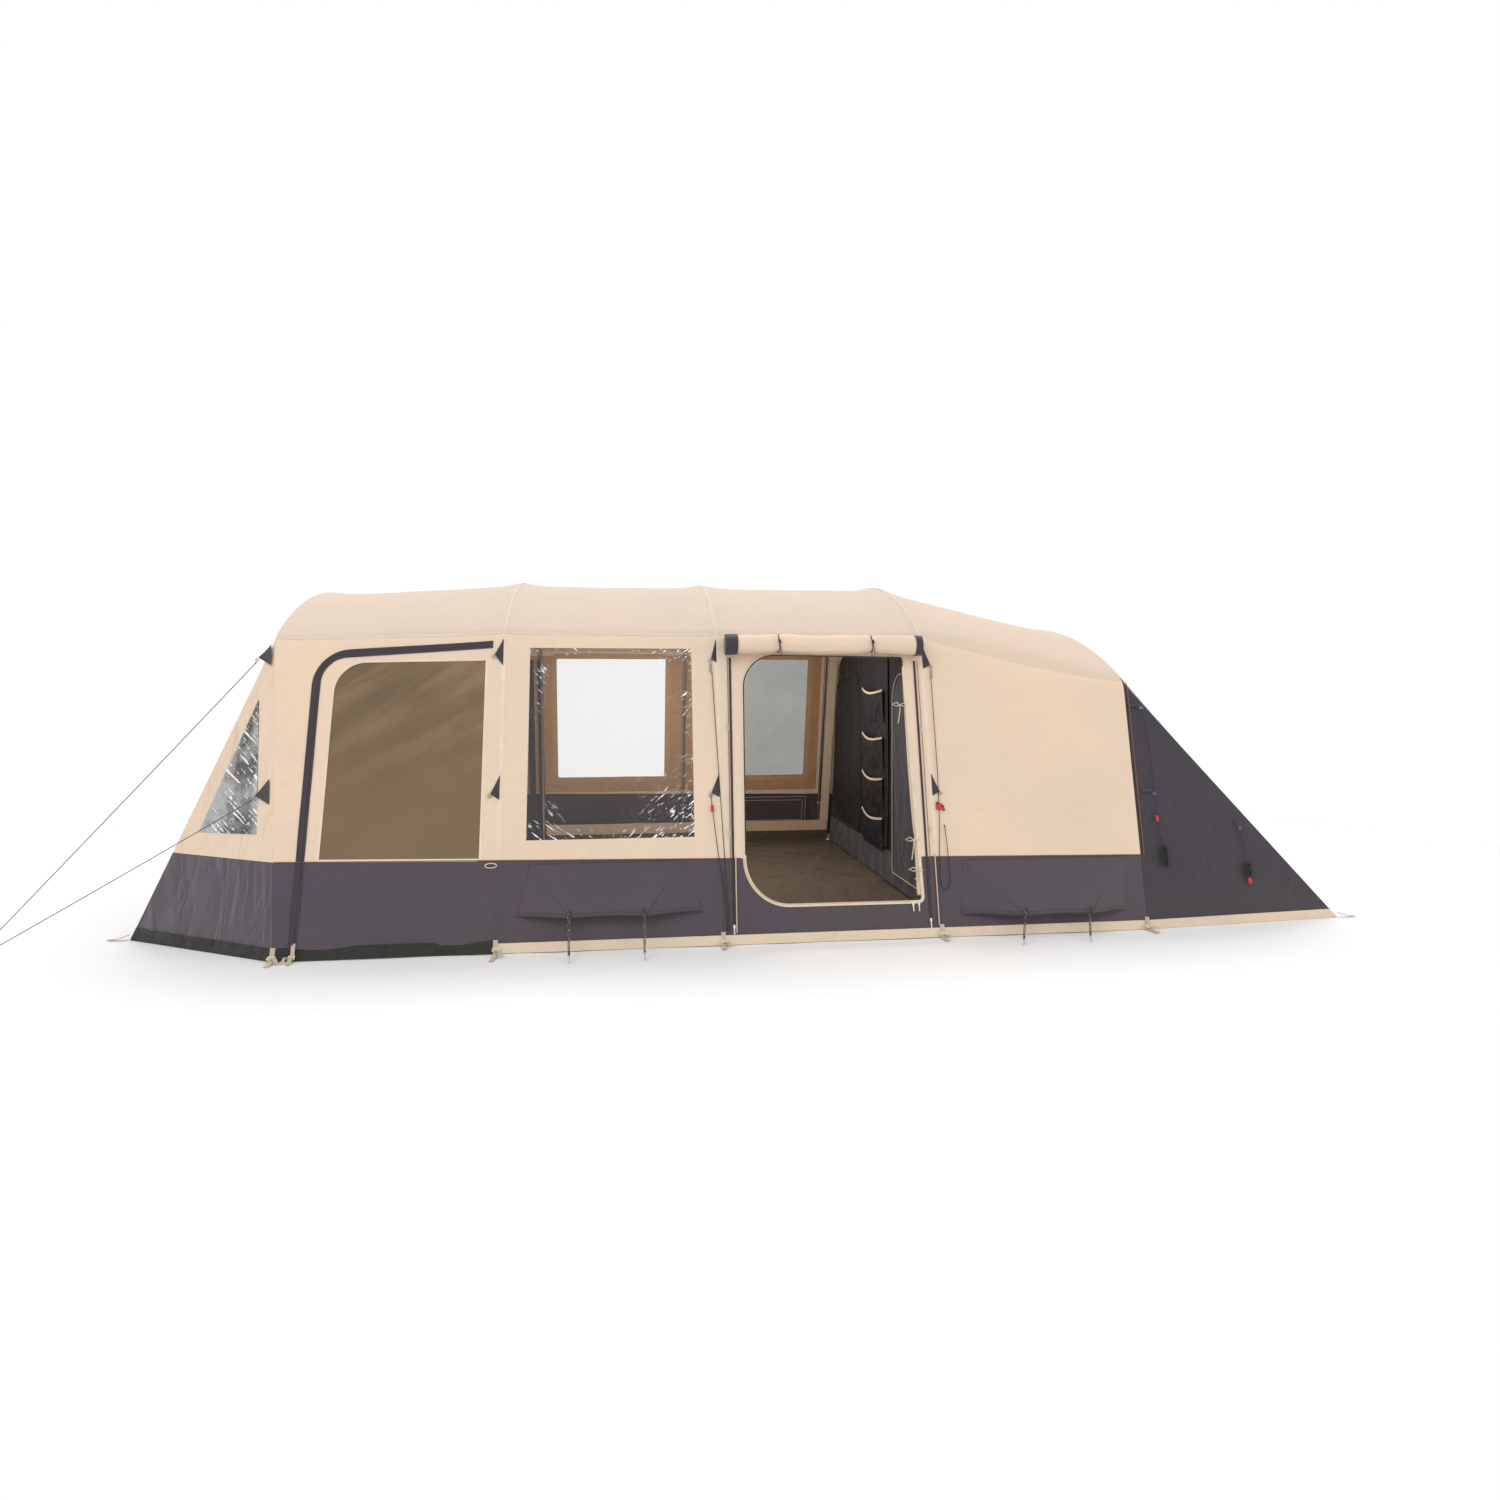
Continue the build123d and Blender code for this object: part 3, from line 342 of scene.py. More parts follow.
CREAM_THREAD = rgb(250, 238, 220)
BEIGE = rgb(240, 218, 194)
# ROOF is the walls' cloth painted darker to offset the stronger light on the roof from above:
# painted shade
ROOF = rgb(220, 202, 185)
CHARCOAL = rgb(83, 76, 85)
LOOK = {
    "beige": woven("beige_polycotton", BEIGE, low_browning=0.0),
    "roof": woven("roof_polycotton", ROOF, mottle=0.05),
    # the rear roof is the same cloth as its wall, painted darker for the same reason: painted shade
    "roof_rear": woven("roof_rear_polycotton", rgb(224, 205, 184), mottle=0.05),
    "charcoal": woven("charcoal_polyester", CHARCOAL, rough=0.62, mottle=0.08, low_browning=0.08,
                      depth=0.0001, sheen=0.3),
    "beige_front": woven("beige_front_cloth", BEIGE, creases=0.005, crease_scale=9,
                         stretch=(1, 1, 0.22)),
    "charcoal_front": woven("charcoal_front_cloth", CHARCOAL, rough=0.5, mottle=0.08, low_browning=0.05,
                            depth=0.0001, sheen=0.3, creases=0.004, crease_scale=6,
                            stretch=(1, 1, 0.35)),
    "rear": woven("rear_polyester", rgb(61, 56, 64), rough=0.6, mottle=0.07, low_browning=0.06,
                  depth=0.0001, sheen=0.3),
    "skirt_dark": woven("skirt_dark_vinyl", rgb(38, 42, 40), rough=0.25, mottle=0.15, low_browning=0.1,
                        creases=0.006, crease_scale=6, sheen=0.0),
    "skirt_cream": woven("skirt_cream_vinyl", rgb(237, 218, 194), rough=0.6, mottle=0.06,
                         low_browning=0.08, creases=0.002, crease_scale=9),
    "ground": woven("groundsheet_tarpaulin", rgb(108, 99, 89), yarn=0.003, rough=0.34,
                    mottle=0.16, creases=0.006, crease_scale=2.4, depth=0.0003, sheen=0.0),
    "cabin": woven("cabin_polyester", rgb(43, 45, 53), rough=0.5, mottle=0.1, creases=0.004,
                   sheen=0.0),
    "inner_beige": woven("inner_beige_cloth", rgb(236, 212, 184), rough=0.8, mottle=0.08),
    # brown cloth for the shaded inner face of the far wall: painted shade
    "inner_shade": woven("wall_inner_painted_shade", rgb(198, 162, 128), rough=0.85, mottle=0.14,
                    creases=0.003),
    "cabin_grey": woven("cabin_grey_polyester", rgb(66, 70, 82), rough=0.5, mottle=0.08,
                        creases=0.003),
    "patch": woven("patch_polyester", rgb(66, 61, 70), rough=0.6, mottle=0.1, sheen=0.25),
    "mesh": netting("insect_mesh", rgb(128, 106, 80)),
    "film_glinting": film("window_film_glinting", rgb(236, 240, 242), see=0.022, glint_strength=5.5),
    "film_gusset": film("window_film_gusset", rgb(196, 201, 202), see=0.55, glint_strength=7.0, spread=0.2,
                        painted_dark_patches=0.9),
    "film": film("window_film", rgb(246, 247, 247), see=0.12),
    "film_shaded": film("window_film_shaded", rgb(176, 180, 178), see=0.55),
    "rope": braided("guy_rope", rgb(26, 24, 28), rgb(92, 84, 84)),
    "bungee": braided("elastic_cord", rgb(28, 27, 30), rgb(238, 236, 232), pitch=0.012),
    "webbing": webbing("cream_webbing", rgb(226, 207, 180)),
    "charcoal_webbing": webbing("charcoal_webbing", rgb(70, 65, 72)),
    "tape": taped("beige_seam_tape", shade(BEIGE, 0.98), shade(BEIGE, 0.9), 0.034),
    "roof_tape": taped("roof_seam_tape", shade(ROOF, 1.02), shade(ROOF, 0.9), 0.026),
    "inner_shade_tape": taped("inner_edge_tape_painted_shade", rgb(204, 168, 130), rgb(160, 124, 90), 0.05),
    "charcoal_tape": taped("charcoal_seam_tape", shade(CHARCOAL, 0.9), rgb(104, 96, 104), 0.034),
    "cream_tape": taped("cream_edge_tape", rgb(232, 214, 188), CREAM_THREAD, 0.034),
    "dark_tape": taped("dark_edge_tape", rgb(66, 60, 68), rgb(110, 100, 108), 0.05),
    "rust": webbing("rust_piping", rgb(150, 98, 72)),
    "black": webbing("black_piping", rgb(38, 35, 38)),
    "cream_piping": webbing("cream_piping", rgb(236, 214, 186)),
    "metal": moulded("drawn_tube", rgb(196, 196, 198), rough=0.3, metallic=1.0),
    "wire": moulded("plated_wire", rgb(150, 150, 154), rough=0.3, metallic=1.0),
    "rubber": moulded("foot_rubber", rgb(40, 40, 42), rough=0.7),
    "red": moulded("red_plastic", rgb(206, 40, 34), rough=0.3),
    "cream_plastic": moulded("cream_plastic", rgb(232, 224, 208), rough=0.4),
    "zip": moulded("zip_coil", rgb(44, 40, 44), rough=0.5, grain=900.0, depth=0.0004),
}


# ---- surfaces ------------------------------------------------------------------------
def row(t, column):
    """A column of the hoop table at a place between hoops, 0 to 4."""
    return np.interp(t, np.arange(5), HOOPS[:, column])


def bay_place(x, z):
    """Place between the hoops, 0 to 4, of points on a side wall."""
    lines = HOOPS[:, 0][:, None] + HOOPS[:, 1][:, None] * z[None, :]
    t = np.zeros_like(x)
    for bay in range(4):
        share = (x - lines[bay]) / (lines[bay + 1] - lines[bay])
        t = np.where((share >= 0) | (bay == 0), bay + share, t)
    return np.clip(t, 0, 4)


def pull(t):
    """How far the cloth hangs in from the hoops: 0 on a hoop, 1 between two."""
    near = np.rint(t)
    gap = np.abs(t - near) * 1.2
    middle = 4 * (t - np.floor(t)) * (1 - (t - np.floor(t)))
    return (1 - np.exp(-(gap / 0.085) ** 2)) * (0.75 + 0.25 * middle)


def waves(a, b, seed, length, count=7):
    """Gentle folds over two coordinates, about 1 high and low."""
    random = np.random.default_rng(seed)
    total = np.zeros_like(a)
    for _ in range(count):
        angle = random.uniform(0, math.pi)
        k = 2 * math.pi / (length * random.uniform(0.6, 1.7))
        total += np.sin(k * (a * math.cos(angle) + b * math.sin(angle)) + random.uniform(0, 6.3))
    return total / math.sqrt(count)


def shoulder(t):
    """Corner height, turn of the corner, crown radius, centre height and half angle."""
    corner, ridge = row(t, 2), row(t, 3)
    half = FOOT_HALF - LEAN * corner
    rise = ridge - corner
    radius = (half ** 2 + rise ** 2) / (2 * rise)
    alpha = np.arcsin(half / radius)
    turn = math.atan2(1, LEAN) - alpha
    return corner, turn, radius, ridge - radius, alpha


def elbow(t):
    """Radius of the cloth where wall turns into roof; the last bay is rounder between hoops."""
    return ELBOW + 0.32 * np.sin(math.pi * np.clip(t - 3, 0, 1)) ** 0.7


def fillet(t):
    """Radius of the rounded corner, how far it reaches from the corner, and half its turn."""
    _, turn, radius, _, _ = shoulder(t)
    bend, total = elbow(t), turn
    for _ in range(3):
        reach = bend * np.tan(total / 2)
        total = turn + reach / radius
    return bend, reach, total / 2


UP_Y, UP_Z = LEAN / SLOPE, 1 / SLOPE          # up the wall, y toward the middle
IN_Y, IN_Z = 1 / SLOPE, -LEAN / SLOPE         # inward from the wall


def bent_wall(start, bend, phi):
    """Half width and height where the wall has turned by phi above a starting height."""
    along, inward = bend * np.sin(phi), bend * (1 - np.cos(phi))
    return (FOOT_HALF - LEAN * start - UP_Y * along - IN_Y * inward,
            start + UP_Z * along + IN_Z * inward)


def wall_point(side, x, z, lift):
    """Cloth of a side wall at x and height z of the wall's plane, rounded into the roof."""
    x, z = np.asarray(x, float), np.asarray(z, float)
    t = bay_place(x, z)
    corner = row(t, 2)
    bend, reach, most = fillet(t)
    left = (corner - z) * SLOPE
    phi = np.clip((reach - left) / reach, 0, 1) * most
    start = np.minimum(z, corner - reach / SLOPE)
    drop = pull(t) * np.interp(z / corner, [0, 0.27, 1], [0.0, 0.6 * WALL_SAG, 1.15 * WALL_SAG])
    ripple = 0.0016 * waves(x, z, 3 + side, 0.5) * np.clip(pull(t) * 1.2, 0, 1)
    ripple = ripple * np.clip((corner - z) / 0.18, 0, 1)
    out = lift - drop + ripple
    half, height = bent_wall(start, bend, phi)
    half = half - (np.sin(phi) * UP_Y - np.cos(phi) * IN_Y) * out
    height = height + (np.sin(phi) * UP_Z - np.cos(phi) * IN_Z) * out
    return np.stack([x, side * half, height], axis=1)


def roof_point(t, f, lift):
    """Cloth of the roof: t between the hoops, f from the near shoulder to the far one."""
    t, f = np.asarray(t, float), np.asarray(f, float)
    corner, _, radius, centre, alpha = shoulder(t)
    mirrored = f > 0.5
    g = np.where(mirrored, 1 - f, f)
    bend, reach, most = fillet(t)
    run = 2 * alpha * g * radius

    def bent_roof(theta, phi):
        y = radius * np.sin(theta) - bend * np.sin(phi) * np.cos(theta)
        z = centre + radius * np.cos(theta) + bend * np.sin(phi) * np.sin(theta)
        inward = bend * (1 - np.cos(phi))
        return y - inward * np.sin(theta), z - inward * np.cos(theta)

    theta = -alpha + np.maximum(run, reach) / radius
    bent = np.clip(1 - run / reach, 0, 1)
    phi = bent * most
    y, z = bent_roof(theta, phi)
    roof_y, roof_z = bent_roof(-alpha + reach / radius, most)
    wall_y, wall_z = bent_wall(corner - reach / SLOPE, bend, most)
    y = y - (wall_y + roof_y) * bent ** 2 * (3 - 2 * bent)
    z = z + (wall_z - roof_z) * bent ** 2 * (3 - 2 * bent)
    n_y = np.cos(phi) * np.sin(theta) - np.sin(phi) * np.cos(theta)
    n_z = np.cos(phi) * np.cos(theta) + np.sin(phi) * np.sin(theta)
    dip = 1.15 * WALL_SAG + (ROOF_SAG - 1.15 * WALL_SAG) * np.sin(math.pi * np.clip(f, 0, 1)) ** 0.6
    x = row(t, 0) + row(t, 1) * z
    ripple = 0.0014 * waves(x, y, 11, 0.6) * np.clip(pull(t) * 1.2, 0, 1)
    out = lift - pull(t) * dip + ripple * np.clip(g / 0.07, 0, 1)
    y = np.where(mirrored, -(y + n_y * out), y + n_y * out)
    z = z + n_z * out
    return np.stack([row(t, 0) + row(t, 1) * z, y, z], axis=1)


def shoulder_point(t, side, lift=CLOTH_LIFT):
    """The rounded corner between wall and roof."""
    return roof_point(np.array([t]), np.array([0.0 if side == NEAR else 1.0]), lift)[0]


def band_z(x):
    share = (x - HOOPS[0, 0]) / (HOOPS[4, 0] - HOOPS[0, 0])
    return BAND_FRONT + (BAND_REAR - BAND_FRONT) * share


def hoop_x(hoop, z):
    return HOOPS[hoop, 0] + HOOPS[hoop, 1] * z


# ---- mesh tools ----------------------------------------------------------------------
def make(name, points, faces, look, body="shell", smooth=True, thick=0.0, uv=None):
    mesh = bpy.data.meshes.new(name)
    mesh.from_pydata([tuple(p) for p in points], [], faces)
    mesh.update()
    piece = bpy.data.objects.new(name, mesh)
    scene.collection.objects.link(piece)
    mesh.materials.append(LOOK[look])
    if smooth:
        mesh.polygons.foreach_set("use_smooth", [True] * len(mesh.polygons))
    if uv is not None:
        layer = mesh.uv_layers.new(name="UVMap")
        for loop in mesh.loops:
            layer.data[loop.index].uv = uv[loop.vertex_index]
    if thick:
        uses = np.zeros(len(mesh.loops), np.int32)
        mesh.loops.foreach_get("edge_index", uses)
        rim = np.bincount(uses, minlength=len(mesh.edges)) == 1
        sharp = mesh.attributes.new("sharp_edge", "BOOLEAN", "EDGE")
        sharp.data.foreach_set("value", rim)
        solid = piece.modifiers.new("thickness", "SOLIDIFY")
        solid.thickness = thick
        solid.offset = 0
        solid.use_even_offset = False
    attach(piece, body)
    return piece


def join(name, parts, look, body="shell", **options):
    """One mesh of several (points, faces) parts."""
    points, faces = [], []
    for part_points, part_faces in parts:
        base = len(points)
        points += [tuple(p) for p in part_points]
        faces += [tuple(i + base for i in face) for face in part_faces]
    return make(name, points, faces, look, body, **options)


def rounded(points, radii, step=0.02):
    """Outline with round corners."""
    out = []
    for i, (point, radius) in enumerate(zip(points, radii)):
        here = Vector(point)
        if radius <= 0:
            out.append(tuple(here))
            continue
        back = (Vector(points[i - 1]) - here).normalized()
        ahead = (Vector(points[(i + 1) % len(points)]) - here).normalized()
        half = back.angle(ahead) / 2
        centre = here + (back + ahead).normalized() * (radius / math.sin(half))
        start = here + back * (radius / math.tan(half)) - centre
        stop = here + ahead * (radius / math.tan(half)) - centre
        steps = max(3, round(radius * (math.pi - 2 * half) / step))
        for k in range(steps + 1):
            out.append(tuple(centre + start.slerp(stop, k / steps).normalized() * radius))
    return out


def divided(points, step, closed=True):
    """The outline again with points about a step apart."""
    out = []
    ends = points[1:] + points[:1] if closed else points[1:]
    for a, b in zip(points, ends):
        a, b = Vector(a), Vector(b)
        count = max(1, round((b - a).length / step))
        out += [tuple(a.lerp(b, k / count)) for k in range(count)]
    if not closed:
        out.append(tuple(points[-1]))
    return out


def inside(points, outline):
    """Which points lie inside a closed outline."""
    x, y = points[:, 0], points[:, 1]
    result = np.zeros(len(points), bool)
    for (x0, y0), (x1, y1) in zip(outline, outline[1:] + outline[:1]):
        crosses = (y0 > y) != (y1 > y)
        if y1 != y0:
            result ^= crosses & (x < (x1 - x0) * (y - y0) / (y1 - y0) + x0)
    return result


def filled(outline, holes=(), step=0.03):
    """Triangles of a flat outline with holes: flat points and faces, and the flat area."""
    rims = [divided(list(outline), step)] + [divided(list(hole), step) for hole in holes]
    points = [p for rim in rims for p in rim]
    edges, base = [], 0
    for rim in rims:
        edges += [(base + i, base + (i + 1) % len(rim)) for i in range(len(rim))]
        base += len(rim)
    low, high = np.min(rims[0], axis=0), np.max(rims[0], axis=0)
    across = np.arange(low[0] + step / 2, high[0], step)
    upward = np.arange(low[1] + step / 2, high[1], step * 0.87)
    grid = np.array([(x + (step / 2 if j % 2 else 0), y)
                     for j, y in enumerate(upward) for x in across])
    if len(grid):
        keep = inside(grid, rims[0])
        for hole in rims[1:]:
            keep &= ~inside(grid, hole)
        grid = grid[keep]
        rim_points = np.array(points)
        gap = np.array([np.min(np.sum((rim_points - g) ** 2, axis=1)) for g in grid])
        grid = grid[gap > (0.45 * step) ** 2] if len(grid) else grid
        points += [tuple(g) for g in grid]
    made = delaunay_2d_cdt([Vector(p) for p in points], edges, [], 0, 1e-6)
    flat = np.array([tuple(v) for v in made[0]])
    faces = np.array([tuple(f) for f in made[2]])
    centres = flat[faces].mean(axis=1)
    keep = inside(centres, rims[0])
    for hole in rims[1:]:
        keep &= ~inside(centres, hole)
    faces = faces[keep]
    used, faces = np.unique(faces, return_inverse=True)
    faces, flat = faces.reshape(-1, 3), flat[used]
    a, b, c = (flat[faces[:, i]] for i in range(3))
    cross = (b[:, 0] - a[:, 0]) * (c[:, 1] - a[:, 1]) - (b[:, 1] - a[:, 1]) * (c[:, 0] - a[:, 0])
    faces[cross < 0] = faces[cross < 0][:, ::-1]
    return flat, [tuple(int(i) for i in f) for f in faces], float(np.abs(cross).sum() / 2)


def turned(faces):
    return [face[::-1] for face in faces]


def cloth(name, parts, look, thick, stands_for, slot, area, width, **held):
    """A cloth of a few parts that replaces a CAD piece; its slot and sheet-row arguments are not
    used.
    """
    piece = join(name, parts, look, thick=thick)
    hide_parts(stands_for)


def wall_part(side, outline, holes=(), step=0.03, lift=CLOTH_LIFT, extra=None):
    """Part of a side wall, its outline as (x, z)."""
    flat, faces, area = filled(outline, holes, step)
    x, z = flat[:, 0], flat[:, 1]
    rise = lift + (extra(x, z) if extra else 0.0)
    points = wall_point(side, x, z, rise)
    return (points, faces if side == NEAR else turned(faces)), area * SLOPE


def grid_faces(rows, columns):
    """Quads of a grid whose points are listed row by row."""
    return [(r * columns + c, r * columns + c + 1, (r + 1) * columns + c + 1,
             (r + 1) * columns + c)
            for r in range(rows - 1) for c in range(columns - 1)]


def grid_part(rows, columns, place):
    """Grid of points from place(u, v), u and v from 0 to 1."""
    v, u = np.meshgrid(np.linspace(0, 1, rows), np.linspace(0, 1, columns), indexing="ij")
    return place(u.ravel(), v.ravel()), grid_faces(rows, columns)


def area_of(part):
    points, faces = part
    points = np.asarray(points)
    total = 0.0
    for face in faces:
        a, b, c = points[list(face[:3])]
        total += np.linalg.norm(np.cross(b - a, c - a)) / 2
        if len(face) == 4:
            d = points[face[3]]
            total += np.linalg.norm(np.cross(c - a, d - a)) / 2
    return total


def tube(name, points, radius, look, body="shell", closed=False):
    """Round bead or piping through points."""
    curve = bpy.data.curves.new(name, "CURVE")
    curve.dimensions = "3D"
    curve.bevel_depth = radius
    curve.bevel_resolution = 2
    curve.use_fill_caps = True
    spline = curve.splines.new("POLY")
    spline.points.add(len(points) - 1)
    for target, point in zip(spline.points, points):
        target.co = (*point, 1)
    spline.use_cyclic_u = closed
    spline.use_smooth = True
    curve.materials.append(LOOK[look])
    piece = bpy.data.objects.new(name, curve)
    scene.collection.objects.link(piece)
    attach(piece, body)
    return piece


def ribbon(name, points, across, width, look, body="shell", thick=0.0012, columns=4):
    """Flat tape along points; across gives its sideways direction at each."""
    points, across = np.asarray(points, float), np.asarray(across, float)
    across = across / np.linalg.norm(across, axis=1)[:, None]
    run = np.concatenate([[0], np.cumsum(np.linalg.norm(np.diff(points, axis=0), axis=1))])
    offsets = np.linspace(-width / 2, width / 2, columns)
    grid = [points[i] + across[i] * o for i in range(len(points)) for o in offsets]
    uv = [(run[i], o) for i in range(len(points)) for o in offsets]
    return make(name, grid, grid_faces(len(points), columns), look, body, thick=thick, uv=uv)


# ---- cords ---------------------------------------------------------------------------
def plane_of(first, second, third, outward):
    a, b, c = Vector(first), Vector(second), Vector(third)
    normal = (b - a).cross(c - a).normalized()
    if normal.dot(Vector(outward)) < 0:
        normal = -normal
    return a, normal


def hoop_corner(hoop):
    z = HOOPS[hoop, 2]
    return (hoop_x(hoop, z), -(FOOT_HALF - LEAN * z), z)


NEAR_PLANE = (Vector((0, -FOOT_HALF, 0)), Vector((0, -1, LEAN)).normalized())
FRONT_PLANE = plane_of((hoop_x(0, 0), -FOOT_HALF, 0), (FRONT_X, -FRONT_HALF, 0), hoop_corner(0),
                       (-1, -1, 0))
REAR_PLANE = plane_of((hoop_x(4, 0), -FOOT_HALF, 0), (REAR_X, -REAR_HALF, 0), hoop_corner(4),
                      (1, -1, 0))


def on_slope(plane, x, z, lift):
    start, normal = plane
    y = start.y - (normal.x * (x - start.x) + normal.z * (z - start.z)) / normal.y
    return Vector((x, y, z)) + normal * lift


def spline_of(name, points, radius, look):
    curve = bpy.data.curves.new(name, "CURVE")
    curve.dimensions = "3D"
    curve.bevel_depth = radius
    curve.bevel_resolution = 3
    curve.resolution_u = 10
    curve.use_fill_caps = True
    spline = curve.splines.new("NURBS")
    spline.points.add(len(points) - 1)
    for target, point in zip(spline.points, points):
        target.co = (*point, 1)
    spline.order_u = 3
    spline.use_endpoint_u = True
    curve.materials.append(LOOK[look])
    piece = bpy.data.objects.new(name, curve)
    scene.collection.objects.link(piece)
    return piece


def spline_line(piece):
    """Points down the middle of a cord."""
    bare = bpy.data.objects.new("bare", piece.data.copy())
    bare.data.bevel_depth = 0
    mesh = bpy.data.meshes.new_from_object(bare)
    line = np.array([v.co for v in mesh.vertices], float)
    bpy.data.meshes.remove(mesh)
    bpy.data.objects.remove(bare)
    return line


def knot(name, place, along, radius, look, body="shell"):
    """Overhand knot: a closed trefoil of cord, pulled tight."""
    along = Vector(along).normalized()
    side = along.orthogonal().normalized()
    other = along.cross(side)
    points = []
    for k in range(36):
        a = 2 * math.pi * k / 36
        u = (math.sin(a) + 2 * math.sin(2 * a)) / 3 * radius * 1.5
        v = (math.cos(a) - 2 * math.cos(2 * a)) / 3 * radius * 1.5
        w = -math.sin(3 * a) * radius * 0.9
        points.append(Vector(place) + side * u + other * w + along * v)
    return tube(name, points, radius, look, body, closed=True)


CORD_R, BUNGEE_R, ON_WALL = 0.002, 0.0025, 0.011
HOOP3_UPPER = [(-.292, 1.462), (-.229, .078)]
HOOP3_LOWER = [(-.313, .775), (-.278, .427), (-.254, .335), (-.241, .078)]
HOOP4 = [
    (1.008, 1.436), (1.006, 1.002), (1.002, .810), (.996, .650), (.986, .520), (.976, .400),
    (.971, .330), (.972, .286), (.978, .264), (.992, .252), (1.009, .252), (1.023, .264),
    (1.029, .288), (1.031, .340), (1.030, .430), (1.027, .520), (1.022, .598),
]
REAR_UPPER = [(2.324, 1.246), (2.337, 1.061), (2.342, .872), (2.331, .570), (2.338, .520),
              (2.350, .480)]
REAR_LOWER = [(2.892, .522), (2.896, .358)]


def hank_turns(plane, x, z, width, length, turns, depth):
    """Control points of a rope wound into a flat hank, from its top."""
    points = []
    for k in range(turns):
        bend = (width / 2 - 0.006) * (0.55 + 0.4 * math.sin(2.1 * k + 0.5))
        shift = 0.22 * width * math.sin(1.7 * k)
        low = length / 2 * (0.86 + 0.1 * math.cos(2.7 * k))
        high = length / 2 * (0.84 + 0.12 * math.sin(1.9 * k))
        lift = 0.009 + depth * (k + 0.5) / turns
        for across, up in [(-bend, high * 0.6), (-bend * 0.9, -low * 0.6), (0, -low),
                           (bend * 0.9, -low * 0.6), (bend, high * 0.6), (0.1 * bend, high)]:
            points.append(on_slope(plane, x + across + shift * 0.4, z + up, lift))
    return points


CORDS = {
    "guy_hoop3_upper": (NEAR_PLANE, HOOP3_UPPER, []),
    "guy_hoop3_lower": (NEAR_PLANE, HOOP3_LOWER, []),
    "guy_hoop4": (NEAR_PLANE, HOOP4, []),
    "guy_rear_upper": (REAR_PLANE, REAR_UPPER, ("hank_rear_upper", 2.352, .398, .058, .150, 8)),
    "guy_rear_lower": (REAR_PLANE, REAR_LOWER, ("hank_rear_lower", 2.902, .300, .064, .100, 7)),
}
for name, (plane, route, hank) in CORDS.items():
    points = [on_slope(plane, x, z, ON_WALL) for x, z in route]
    stands_for = [name]
    if hank:
        hank_name, x, z, width, length, turns = hank
        points += hank_turns(plane, x, z, width, length, turns, 0.016)
        stands_for.append(hank_name)
    piece = spline_of(f"{name}_cord", points, CORD_R, "rope")
    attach(piece, "shell")
    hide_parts(*stands_for)
    line = spline_line(piece)
    end = knot(f"{name}_knot", line[-1], line[-1] - line[-5], CORD_R, "rope")
    top = knot(f"{name}_top_knot", line[0] + np.array([0, 0, 0.006]), line[0] - line[5], CORD_R,
               "rope")
    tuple(points[0])

for name, points in {
    "guy_front_upper": [(-2.789, -1.275, 1.523), (-4.050, -1.540, 0.012)],
    "guy_front_lower": [(-2.752, -1.440, .790), (-4.050, -1.556, 0.008)],
}.items():
    a, b = Vector(points[0]), Vector(points[1])
    middle = a.lerp(b, 0.5) - Vector((0, 0, 0.006))
    piece = spline_of(f"{name}_cord", [a, middle, b], CORD_R, "rope")
    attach(piece, "shell")
    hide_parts(name)
    line = spline_line(piece)
    end = knot(f"{name}_knot", line[-1] + np.array([0.004, 0, 0.0]), b - a, CORD_R * 0.8, "rope")
    top = knot(f"{name}_top_knot", line[0], a - b, CORD_R, "rope")

BUNGEES = {
    "bungee_2_1": ((-1.078, -1.71807, .20164), (-1.068, -1.950, .004), "2"),
    "bungee_2_2": ((-.682, -1.71807, .20164), (-.690, -1.950, .004), "2"),
    "bungee_4_1": ((1.440, -1.73848, .14031), (1.335, -1.940, .004), "4"),
    "bungee_4_2": ((1.822, -1.73848, .14031), (1.725, -1.925, .004), "4"),
}
PIN = 0.045
for name, (top, tip, bay) in BUNGEES.items():
    top, tip = Vector(top), Vector(tip)
    along = (tip - top).normalized()
    low = tip - along * PIN
    piece = spline_of(f"{name}_cord", [top, top.lerp(low, 0.5), low], BUNGEE_R, "bungee")
    body = f"vent_cords_{bay}"
    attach(piece, body)
    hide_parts(name)
    side = along.cross(Vector((0, 0, 1))).normalized()
    lift = side.cross(along).normalized()
    back = spline_of(f"{name}_return_cord", [top + side * .009, top.lerp(low, 0.5) + side * .0075,
                                             low + side * .0056], BUNGEE_R, "bungee")
    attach(back, body)
    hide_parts(name)
    hook = [low + along * 0.002 - side * 0.006, low - along * 0.004, low + side * 0.006,
            low + along * 0.008 + side * 0.004, low + along * 0.012, tip - along * 0.003]
    pin = tube(f"{name}_pin", [p + lift * 0.0004 for p in hook], 0.0030, "metal", body)
    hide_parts(f"vent_pegs_{bay}")
    grip = tube(f"{name}_crimp", [low - along * 0.016, low - along * 0.004], 0.0042, "zip", body)

# ---- roof ----------------------------------------------------------------------------
def closer_rows(v):
    """Rows that lie closer together where the cloth turns down into the walls."""
    return v - 0.82 * np.sin(2 * math.pi * v) / (2 * math.pi)


for bay in range(4):
    part = grid_part(97, 45, lambda u, v: roof_point(bay + u, closer_rows(v), CLOTH_LIFT))
    cloth(f"roof_{bay + 1}_cloth", [part], "roof" if bay < 3 else "roof_rear", 0.0015,
          f"roof_{bay + 1}", "roof_cloth", area_of(part), 1.22,
          rests_on=[f"hoop_{bay + 1}", f"hoop_{bay + 2}"])


# ---- side walls ----------------------------------------------------------------------
def bay_outline(bay, low, high):
    heights = [(bay, low(HOOPS[bay, 0])), (bay + 1, low(HOOPS[bay + 1, 0])),
               (bay + 1, high(bay + 1)), (bay, high(bay))]
    return [(hoop_x(hoop, z), z) for hoop, z in heights]


def upper_outline(bay):
    return bay_outline(bay, band_z, lambda hoop: HOOPS[hoop, 2])


def band_outline(bay):
    return bay_outline(bay, lambda x: HEM, lambda hoop: band_z(HOOPS[hoop, 0]))


